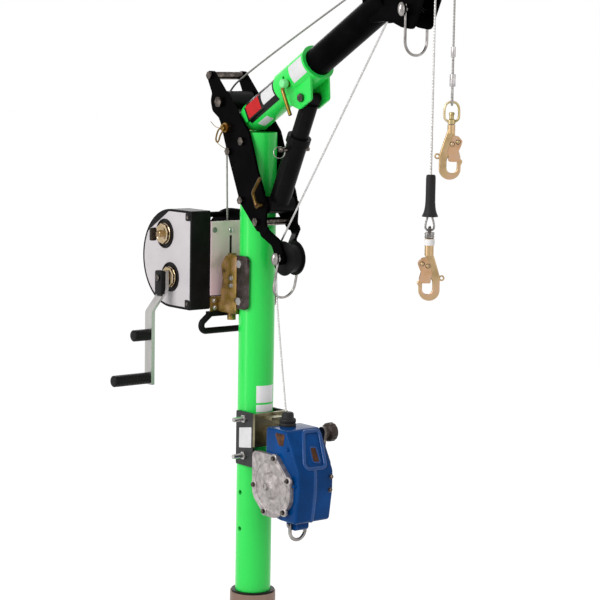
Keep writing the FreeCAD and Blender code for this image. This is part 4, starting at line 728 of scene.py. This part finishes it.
def makeHubs(spec):
    y, soft = spec["face"], spec["softEdge"]
    for name, key in (("freeWell", "free"), ("crankWell", "crank")):
        x, z = spec[key]
        well = turned(spec["well"], (x, y, z), toNear, steps=64, loop=True)
        putPiece(name, well, "blackPlastic", "mast")
    x, z = spec["free"]
    hub = turned(spec["freeHub"], (x, y, z), toNear, steps=96, sides=8, start=0.2)
    stem = turned(spec["stem"], (x, y, z), toNear, steps=40)
    putPiece("freeHub", joined(hub, stem), "hubBrass", "mast", ("winch_free_hub",),
             crease["hex"])
    own = spec["wing"]
    outline = rounded(boxCorners(*own["size"]), steps=8)
    wing = nearSlab(outline, own["thick"], own["edge"], (x, y - own["from"], z))
    putPiece("freeCap", wing, "capBrown", "mast", ("winch_free_cap",), crease["hex"])
    x, z = spec["crank"]
    hub = turned(spec["crankHub"], (x, y, z), toNear, steps=96, sides=8, start=0.3)
    putPiece("crankHub", hub, "hubBrass", "crank", ("crank_hub",), crease["hex"])
    own = spec["cap"]
    cap = nearSlab(rounded(own["corners"]), own["thick"], own["edge"], (x, own["y"], z))
    putPiece("crankCap", cap, "blackPlastic", "crank", ("crank_cap",))
    nut = turned(spec["nut"], (x, spec["nutY"], z), toNear, steps=36)
    putPiece("crankCapNut", nut, "darkSteel", "crank", sharp=crease["hex"])
    pocket = rounded(boxCorners(*spec["pocket"]))
    pockets = [nearSlab(pocket, spec["pocketThick"], soft, (px, y, pz)) for px, pz in spec["pockets"]]
    putPiece("facePockets", joined(*pockets), "blackPlastic", "mast")
    own = spec["segment"]
    angle = np.radians(np.linspace(own["from"], own["to"], 40))
    rim = np.array(own["centre"]) + own["radius"] * np.stack([np.cos(angle), np.sin(angle)], -1)
    segment = nearSlab(rim, own["thick"], soft, (0, y, 0))
    putPiece("faceSegment", segment, "housingBlack", "mast")
    places = [(px, y - spec["pocketThick"], pz) for px, pz in spec["pockets"]]
    screws = turnedAt(spec["screw"], places, toNear, steps=24)
    putPiece("faceScrews", screws, "darkSteel", "mast")


makeHubs(hubSpec)
print("winch hubs made")


# drum: flanged spool and the rope wound on it, r = R + d |sin| of the place along the barrel
drumSpec = {
    "place": (-0.184, 0, 1.088), "sides": (-0.066, 0.05), "flange": 0.08, "thick": 0.005, "core": 0.04,
    "axle": 0.012, "ends": (-0.09, 0.068), "edge": 0.0012, "wound": 0.0705, "rope": 0.0049, "around": 72}


def makeDrum(spec):
    (y0, y1), (e0, e1) = spec["sides"], spec["ends"]
    t, f, edge, core, axle = (spec[key] for key in ("thick", "flange", "edge", "core", "axle"))
    across, around = (0, 1, 0), spec["around"]
    spool = [(0, e0), (axle, e0), (axle, y0), (f - edge, y0), (f, y0 + edge), (f, y0 + t - edge),
             (f - edge, y0 + t), (core, y0 + t), (core, y1 - t), (f - edge, y1 - t), (f, y1 - t + edge),
             (f, y1 - edge), (f - edge, y1), (axle, y1), (axle, e1 - edge), (axle - edge, e1), (0, e1)]
    spool = turned(spool, spec["place"], across, around)
    putPiece("drumSpool", spool, "darkSteel", "drum", ("winch_drum",))
    count = int((y1 - y0 - 2 * t) / spec["rope"])
    along = np.linspace(0, count, count * 6 + 1)
    radius = spec["wound"] + spec["rope"] / 2 * np.abs(np.sin(math.pi * along))
    wound = np.stack([radius, y0 + t + along * (y1 - y0 - 2 * t) / count], -1)
    wound = [(core, wound[0, 1])] + wound.tolist() + [(core, wound[-1, 1])]
    wound = turned(wound, spec["place"], across, around, loop=True)
    putPiece("drumRope", wound, "ropeSteel", "drum", sharp=crease["rope"])


makeDrum(drumSpec)
print("drum wound")


# crank grips with shallow rings, r = R - d where the ring is
gripSpec = {
    "x": -0.186, "foot": -0.196, "radius": 0.0145, "edge": 0.0035, "ring": 0.0006, "ringShare": 0.6,
    "ends": (0.006, 0.008), "collar": (0.92, 0.002), "perRing": 8,
    "grips": [(0.791, 0.104, 11), (0.9, 0.046, 4)]}


def makeGrips(spec):
    r, e = spec["radius"], spec["edge"]
    first, last = spec["ends"]
    share, rise = spec["collar"]
    bend = np.linspace(0, math.pi / 2, 6)
    surfaces = []
    for z, length, rings in spec["grips"]:
        steps = rings * spec["perRing"] + 1
        along = np.linspace(first, length - last, steps)
        cut = spec["ring"] * (np.cos(np.linspace(0, 2 * math.pi * rings, steps)) > spec["ringShare"])
        body = np.stack([r - cut, along], -1).tolist()
        tip = np.stack([r - e + e * np.cos(bend), length - e + e * np.sin(bend)], -1).tolist()
        outline = [(0, 0), (r * share, 0), (r, rise)] + body + tip + [(0, length)]
        surfaces.append(turned(outline, (spec["x"], spec["foot"], z), toNear, steps=40))
    putPiece("crankGrips", joined(*surfaces), "blackPlastic", "crank", ("crank_grips",),
             crease["soft"])


makeGrips(gripSpec)
print("crank grips made")


# reel's cast cover: bolts on their pads, a ring and a hex nut
reelSpec = {
    "place": (0.16, 0.564), "cover": -0.075, "padHigh": 0.0024, "nutLift": 0.012,
    "rimBolts": [(0.1735, 0.6335), (0.2275, 0.587), (0.213, 0.508), (0.0965, 0.556), (0.137, 0.4975)],
    "bolt": [(0, 0), (0.0062, 0), (0.0062, 0.0012), (0.005, 0.0014, 1), (0.005, 0.0046, 1),
        (0.0042, 0.0056, 1), (0, 0.0057)],
    "pads": [(0, -0.004), (0.0105, -0.004), (0.0105, 0.0012), (0.009, 0.0024), (0, 0.0024)],
    "nut": [(0, -0.002), (0.0115, -0.002), (0.0115, 0.0005), (0.0088, 0.0008, 1), (0.0088, 0.0062, 1),
        (0.0076, 0.0074, 1), (0.0042, 0.0075), (0.0042, 0.0055), (0, 0.0055)],
    "ridge": [(0.056, -0.002), (0.0575, 0.0012), (0.06, 0.002), (0.0625, 0.0012), (0.064, -0.002)]}


def makeReel(spec):
    x, z = spec["place"]
    y = spec["cover"]
    pads = [(px, y, pz) for px, pz in spec["rimBolts"]]
    putPiece("coverPads", turnedAt(spec["pads"], pads, toNear, steps=32), "castGrey", "mast")
    heads = [(px, y - spec["padHigh"], pz) for px, pz in spec["rimBolts"]]
    bolts = turnedAt(spec["bolt"], heads, toNear, steps=36)
    putPiece("coverBolts", bolts, "darkSteel", "mast", sharp=crease["hex"])
    ridge = turned(spec["ridge"], (x, y, z), toNear, steps=96, loop=True)
    putPiece("coverRidge", ridge, "castGrey", "mast")
    nut = turned(spec["nut"], (x, y - spec["nutLift"], z), toNear, steps=48)
    putPiece("coverNut", nut, "castGrey", "mast", sharp=crease["hex"])


makeReel(reelSpec)
print("reel details made")


# rubber bumper over the lifeline's crimp, flaring to its lip
bumperSpec = {
    "place": (0.6342, ropeY, 0),
    "outline": [(0.0027, 1.3398), (0.008, 1.3398), (0.0096, 1.3388), (0.0104, 1.3362), (0.0108, 1.33),
        (0.0108, 1.295), (0.011, 1.28), (0.0117, 1.27), (0.0131, 1.2615), (0.015, 1.255),
        (0.0169, 1.2508), (0.0179, 1.2494), (0.018, 1.2474), (0.0172, 1.247), (0.0156, 1.2476),
        (0.009, 1.2688), (0.0027, 1.269)]}
bumper = turned(bumperSpec["outline"], bumperSpec["place"], toSky, steps=48, loop=True)
putPiece("lifelineBumper", bumper, "blackRubber", "lifeline_fall", ("lifeline_bumper",),
         crease["soft"])


# small hardware: the pivot pin's clip and wires, ball and ring on the strut pin, the bails' eyes, knob cap
strutTilt = math.radians(65.25)
kneeSpec = {
    "clip": {
        "strap": [(-0.056, -0.0672, 1.4215), (-0.072, -0.069, 1.415), (-0.0815, -0.069, 1.4),
            (-0.086, -0.0685, 1.386), (-0.0805, -0.068, 1.38), (-0.0735, -0.068, 1.384),
            (-0.068, -0.068, 1.4), (-0.056, -0.0672, 1.4125)],
        "tail": [(-0.07, -0.069, 1.416), (-0.08, -0.072, 1.417), (-0.09, -0.0745, 1.424),
            (-0.098, -0.0755, 1.431)],
        "lead": [(-0.08, -0.0682, 1.38), (-0.072, -0.067, 1.374), (-0.064, -0.063, 1.369),
            (-0.057, -0.056, 1.364)],
        "wire": 0.0021, "thin": 0.0008},
    "strutPin": {
        "foot": (0.08, 1.236), "along": 0.15, "tip": -0.0405, "ring": 0.0135, "wire": 0.0011,
        "offset": (-0.006, -0.004, -0.007), "way": (0.63, 0.78, 0)},
    "eyes": [("headPinEye", (0.5627, -0.0435, 1.7009), "boom"),
        ("footPinEye", (0.1255, -0.0435, 1.109), "mast")],
    "knob": {
        "along": 0.249, "up": -0.014, "y": -0.056,
        "cap": [(0, -0.01), (0.0094, -0.01), (0.0102, -0.008), (0.0104, 0.0005), (0.0098, 0.0032),
            (0.0078, 0.005), (0.004, 0.0058), (0, 0.006)]},
    "eye": [(0, -0.016), (0.004, -0.015), (0.0072, -0.0118), (0.0092, -0.0065), (0.0098, 0),
        (0.0092, 0.0065), (0.0072, 0.0118), (0.004, 0.015), (0, 0.016)],
    "ball": [(0, -0.006), (0.0036, -0.006), (0.004, -0.0015), (0.006, 0.0002), (0.0072, 0.0032),
        (0.0072, 0.0052), (0.006, 0.0084), (0.0032, 0.0102), (0, 0.0106)]}


# wire ring: a circle in the plane of two ways, carried round by a small round profile
def wireRing(place, first, second, radius, wire):
    a = onceRound(48)[:, None]
    path = np.asarray(place, float) + radius * (np.cos(a) * unit(first) + np.sin(a) * unit(second))
    return carry(path, ringProfile(wire, steps=10), np.cross(unit(first), unit(second)), closed=True)


def makeKnee(spec):
    own = spec["clip"]
    for name, key, size in (("pivotClip", "strap", "wire"), ("pivotClipTail", "tail", "thin"),
                            ("pivotClipLead", "lead", "thin")):
        wire = carry(routeLine(name, own[key], steps=12), ringProfile(own[size]), (0, 1, 0))
        putPiece(name, wire, "leverZinc", "mast")
    own = spec["strutPin"]
    x = own["foot"][0] + own["along"] * math.cos(strutTilt)
    z = own["foot"][1] + own["along"] * math.sin(strutTilt)
    tip = np.array((x, own["tip"], z))
    ball = turned(spec["ball"], tip, toNear, steps=32)
    putPiece("strutPinBall", ball, "darkSteel", "strut_lower")
    ring = wireRing(tip + np.array(own["offset"]), own["way"], toSky, own["ring"], own["wire"])
    putPiece("strutPinRing", ring, "bailSteel", "strut_lower")
    for name, place, body in spec["eyes"]:
        putPiece(name, turned(spec["eye"], place, toSky, steps=32), "bailSteel", body)
    own = spec["knob"]
    x = pivot[0] + own["along"] * math.cos(tilt) - own["up"] * math.sin(tilt)
    z = pivot[2] + own["along"] * math.sin(tilt) + own["up"] * math.cos(tilt)
    cap = turned(own["cap"], (x, own["y"], z), toNear, steps=40)
    putPiece("lockKnobCap", cap, "paleGreen", "boom")


makeKnee(kneeSpec)
print("knee hardware made")


# reel's grip: raised rim and dark slot on the slanted face, a rib and bolts on the front, a recess beside it
gripFace = {"start": (0.202, 0, 0.702), "down": (0.48332, 0, -0.87544), "out": (0.87544, 0, 0.48332)}
reelGripSpec = {
    "rim": [(0.007, -0.013, 0.01), (0.008, 0.036, 0.01), (0.101, 0.022, 0.012), (0.099, -0.043, 0.012)],
    "slot": [(0.046, -0.008, 0.006), (0.048, 0.012, 0.006), (0.088, 0.011, 0.006), (0.085, -0.012, 0.006)],
    "lip": 0.0028, "rimWide": 0.0052, "rimHigh": 0.0046,
    "recess": [(0.176, 0.664, 0.004), (0.194, 0.665, 0.004), (0.1985, 0.694, 0.004), (0.159, 0.694, 0.005)],
    "rib": [(0.2515, 0.612), (0.255, 0.6), (0.255, 0.556), (0.245, 0.486), (0.239, 0.481),
        (0.196, 0.481)],
    "ribY": -0.012, "ribWide": 0.005, "ribHigh": 0.0026, "rimLift": 0.0002, "slotThick": 0.0008,
    "recessThick": 0.0007, "softEdge": 0.0003, "near": -0.063,
    "frontBolts": [(0.2548, 0.036, 0.59), (0.254, 0.034, 0.558)],
    "sideScrews": [(0.2115, 0.66), (0.24, 0.575)]}


# grip plane: start + u down + v across + lift out
def onGrip(outline, lift):
    down, out = np.array(gripFace["down"]), np.array(gripFace["out"])
    flat = np.asarray(outline)
    return np.array(gripFace["start"]) + flat[:, :1] * down + flat[:, 1:] * np.array((0, 1.0, 0)) + lift * out


def makeReelGrip(spec):
    out, soft = gripFace["out"], spec["softEdge"]
    wire = ovalProfile(spec["rimWide"], spec["rimHigh"], steps=16)
    rim = carry(onGrip(rounded(spec["rim"], steps=10), spec["rimLift"]), wire, out, closed=True)
    putPiece("gripRim", rim, "blueGloss", "mast")
    outline = rounded(spec["slot"], steps=8)
    slot = slab(outline[::-1], spec["slotThick"], soft, gripFace["start"], gripFace["down"], (0, 1, 0))
    putPiece("gripSlot", slot, "rustBrown", "mast")
    lip = carry(onGrip(outline, 0.0), ringProfile(spec["lip"], steps=10), out, closed=True)
    putPiece("gripSlotLip", lip, "blueGloss", "mast")
    recess = nearSlab(rounded(spec["recess"]), spec["recessThick"], soft, (0, spec["near"], 0))
    putPiece("reelRecess", recess, "rustBrown", "mast")
    line = routeLine("reelRib", [(x, spec["ribY"], z) for x, z in spec["rib"]], steps=12)
    ways = np.gradient(line, axis=0)
    outward = np.stack([-ways[:, 2], 0 * ways[:, 1], ways[:, 0]], -1)
    rib = carry(line, ovalProfile(spec["ribWide"], spec["ribHigh"], steps=16), outward)
    putPiece("reelRib", rib, "blueGloss", "mast")
    bolt = reelSpec["bolt"]
    bolts = turnedAt(bolt, spec["frontBolts"], toHead, steps=36)
    putPiece("reelFrontBolts", bolts, "darkSteel", "mast")
    screws = turnedAt(bolt, [(x, spec["near"], z) for x, z in spec["sideScrews"]], toNear, steps=36)
    putPiece("reelSideScrews", screws, "bluePaint", "mast")


makeReelGrip(reelGripSpec)
print("reel grip made")


# reel housing with rounded rims: a merged copy of the node, its near and far outlines bevelled
softSpec = {
    "node": "lifeline_housing", "near": -0.063, "far": 0.044, "width": 0.006, "segments": 4, "clear": 0.03,
    "flat": 1, "corner": 40, "level": 1e-5}


def makeReelBody(spec):
    shell = bmesh.new()
    shell.from_mesh(nodes[spec["node"]].data)
    bmesh.ops.remove_doubles(shell, verts=shell.verts, dist=mergeGap)
    seam = math.radians(spec["flat"])
    bmesh.ops.dissolve_limit(shell, angle_limit=seam, verts=shell.verts, edges=shell.edges)
    centre = Vector((reelSpec["place"][0], 0, reelSpec["place"][1]))

    def onRim(edge):
        flat = [(v.co - centre) * Vector((1, 0, 1)) for v in edge.verts]
        level = [v.co.y for v in edge.verts]
        gaps = [max(abs(y - spec[face]) for y in level) for face in ("near", "far")]
        onFace = min(gaps) < spec["level"]
        if not onFace or len(edge.link_faces) != 2 or min(f.length for f in flat) <= spec["clear"]:
            return False
        return edge.calc_face_angle() > math.radians(spec["corner"])

    rims = [edge for edge in shell.edges if onRim(edge)]
    bmesh.ops.bevel(shell, geom=rims, offset=spec["width"], segments=spec["segments"], profile=0.5,
                    affect="EDGES", clamp_overlap=False)
    mesh = bpy.data.meshes.new("reelBody")
    shell.to_mesh(mesh)
    shell.free()
    print("reel rims:", len(rims), "edges")
    return mesh


reelBody = makeReelBody(softSpec)
placeMesh("reelBody", reelBody, "bluePaint", "mast", (softSpec["node"],), crease["rim"])


# reel's rubber neck and the fluted knob of its crank, r = R (1 - d w (1 + cos n a) / 2)
neckSpec = {
    "place": (0.1435, ropeY, 0),
    "outline": [(0, 0.702), (0.0205, 0.702), (0.0209, 0.7045), (0.0205, 0.7075), (0.0192, 0.709),
        (0.0192, 0.7105), (0.0204, 0.712), (0.0206, 0.7165), (0.0196, 0.7195), (0.0165, 0.7212),
        (0.015, 0.7228), (0.0148, 0.73), (0.014, 0.7335), (0.0118, 0.7356), (0.0085, 0.736),
        (0.004, 0.7352), (0, 0.735)]}
knobSpec = {
    "place": (0.182, 0.0725, 0.682), "flutes": 14, "depth": 0.05, "around": 112,
    "outline": [(0, 0, 0), (0.012, 0, 0), (0.013, 0.003, 0), (0.014, 0.006, 0), (0.0205, 0.0085, 0.3),
        (0.023, 0.0105, 1), (0.0238, 0.015, 1), (0.0238, 0.023, 1), (0.023, 0.0265, 1),
        (0.0205, 0.0288, 0.3), (0.0165, 0.03, 0), (0.012, 0.0294, 0), (0, 0.029, 0)]}


def makeKnob(spec):
    outline = np.array(spec["outline"])
    angle = onceRound(spec["around"])
    cut = 1 - spec["depth"] * outline[:, 2:] * (1 + np.cos(spec["flutes"] * angle))[None] / 2
    radius = outline[:, :1] * cut
    height = np.broadcast_to(outline[:, 1:2], radius.shape)
    points = np.stack([radius * np.cos(angle), height, radius * np.sin(angle)], -1) + np.array(spec["place"])
    return points.reshape(-1, 3), gridFaces(len(outline), spec["around"])


neck = turned(neckSpec["outline"], neckSpec["place"], toSky, steps=48)
putPiece("reelNeck", neck, "blackRubber", "mast", ("lifeline_neck",), crease["soft"])
knob = makeKnob(knobSpec)
putPiece("reelKnob", knob, "brownPlastic", "lifeline_crank", ("lifeline_crank_knob",),
         crease["flute"])
print("reel body, neck and knob made")


# winch latch: waisted keeper on the channel's near cheek with its bolts, slot, plug and button on the plate
latchSpec = {
    "keeper": [(-0.076, 0.964, 0.012), (-0.014, 0.964, 0.006), (-0.014, 1.104, 0.006),
        (-0.059, 1.104, 0.022), (-0.077, 1.074, 0.012), (-0.069, 1.042, 0.022),
        (-0.077, 1.012, 0.012)],
    "y": -0.0515, "thick": 0.003, "edge": 0.0012, "front": -0.093,
    "slot": [(-0.0165, 1.102, 0.003), (-0.0095, 1.102, 0.003), (-0.0095, 1.148, 0.003),
        (-0.0165, 1.148, 0.003)],
    "slotThick": 0.001, "slotEdge": 0.0002, "slotSink": 0.0012, "hole": (-0.013, 1.161),
    "plug": (-0.063, 1.163),
    "button": [(0, -0.003), (0.0066, -0.003), (0.0068, 0.0012), (0.0056, 0.003), (0.003, 0.004),
        (0, 0.0042)],
    "bolts": [(-0.033, 1.048), (-0.033, 1.03)], "band": [(-0.0625, 0.987), (-0.06, 0.969)],
    "bolt": [(0, 0), (0.0066, 0), (0.0066, 0.001), (0.0052, 0.0012, 1), (0.0052, 0.0044, 1),
        (0.0044, 0.0054, 1), (0, 0.0055)]}


def makeLatch(spec):
    keeper = nearSlab(rounded(spec["keeper"], steps=8), spec["thick"], spec["edge"], (0, spec["y"], 0))
    putPiece("latchKeeper", keeper, "latchGold", "mast")
    outer, front = spec["y"] - spec["thick"], spec["front"]
    sink = (front - spec["slotSink"], 0, 0)
    slot = slab(rounded(spec["slot"]), spec["slotThick"], spec["slotEdge"], sink, (0, 1, 0), toSky)
    putPiece("mountSlot", slot, "bandBlack", "mast")
    plug = turned(spec["button"], (front,) + spec["plug"], toHead, steps=36)
    putPiece("mountPlug", plug, "plugGrey", "mast")
    near = turnedAt(spec["bolt"], [(x, outer, z) for x, z in spec["bolts"]], toNear, steps=36)
    band = turnedAt(spec["bolt"], [(front, y, z) for y, z in spec["band"]], toHead, steps=36)
    button = turned(spec["button"], (front,) + spec["hole"], toHead, steps=36)
    bolts = joined(near, band, button)
    putPiece("latchBolts", bolts, "silverSteel", "mast", sharp=crease["hex"])


makeLatch(latchSpec)


# hooks: domed rivet heads over dark washers at each gate's pin
rivetSpec = {
    "winch": (0.6956, 1.4361, 0.0, "winch_gate"),
    "lifeline": (0.6342, 1.1641, math.pi, "lifeline_gate"),
    "pins": [(0.0025, -0.026), (0.015, -0.0215)], "half": 0.0082,
    "washer": [(0, 0), (0.0056, 0), (0.0056, 0.0006), (0, 0.0007)],
    "head": [(0, 0.0006), (0.004, 0.0006), (0.0041, 0.0014), (0.0034, 0.0023), (0.0018, 0.0029),
        (0, 0.003)]}


def makeRivets(spec):
    for key in ("winch", "lifeline"):
        x, top, extra, body = spec[key]
        along, face = (np.array(way) for way in turnedWays(hookTurn + extra))
        places = [(np.array((x, ropeY, top + z)) + a * along + side * spec["half"] * face, side * face)
                  for a, z in spec["pins"] for side in (-1, 1)]
        washers = [turned(spec["washer"], place, way, steps=28) for place, way in places]
        putPiece(key + "GateWashers", joined(*washers), "darkSteel", body)
        heads = [turned(spec["head"], place, way, steps=28) for place, way in places]
        putPiece(key + "GateRivets", joined(*heads), "hookBrass", body)


makeRivets(rivetSpec)
print("latch and hook rivets made")
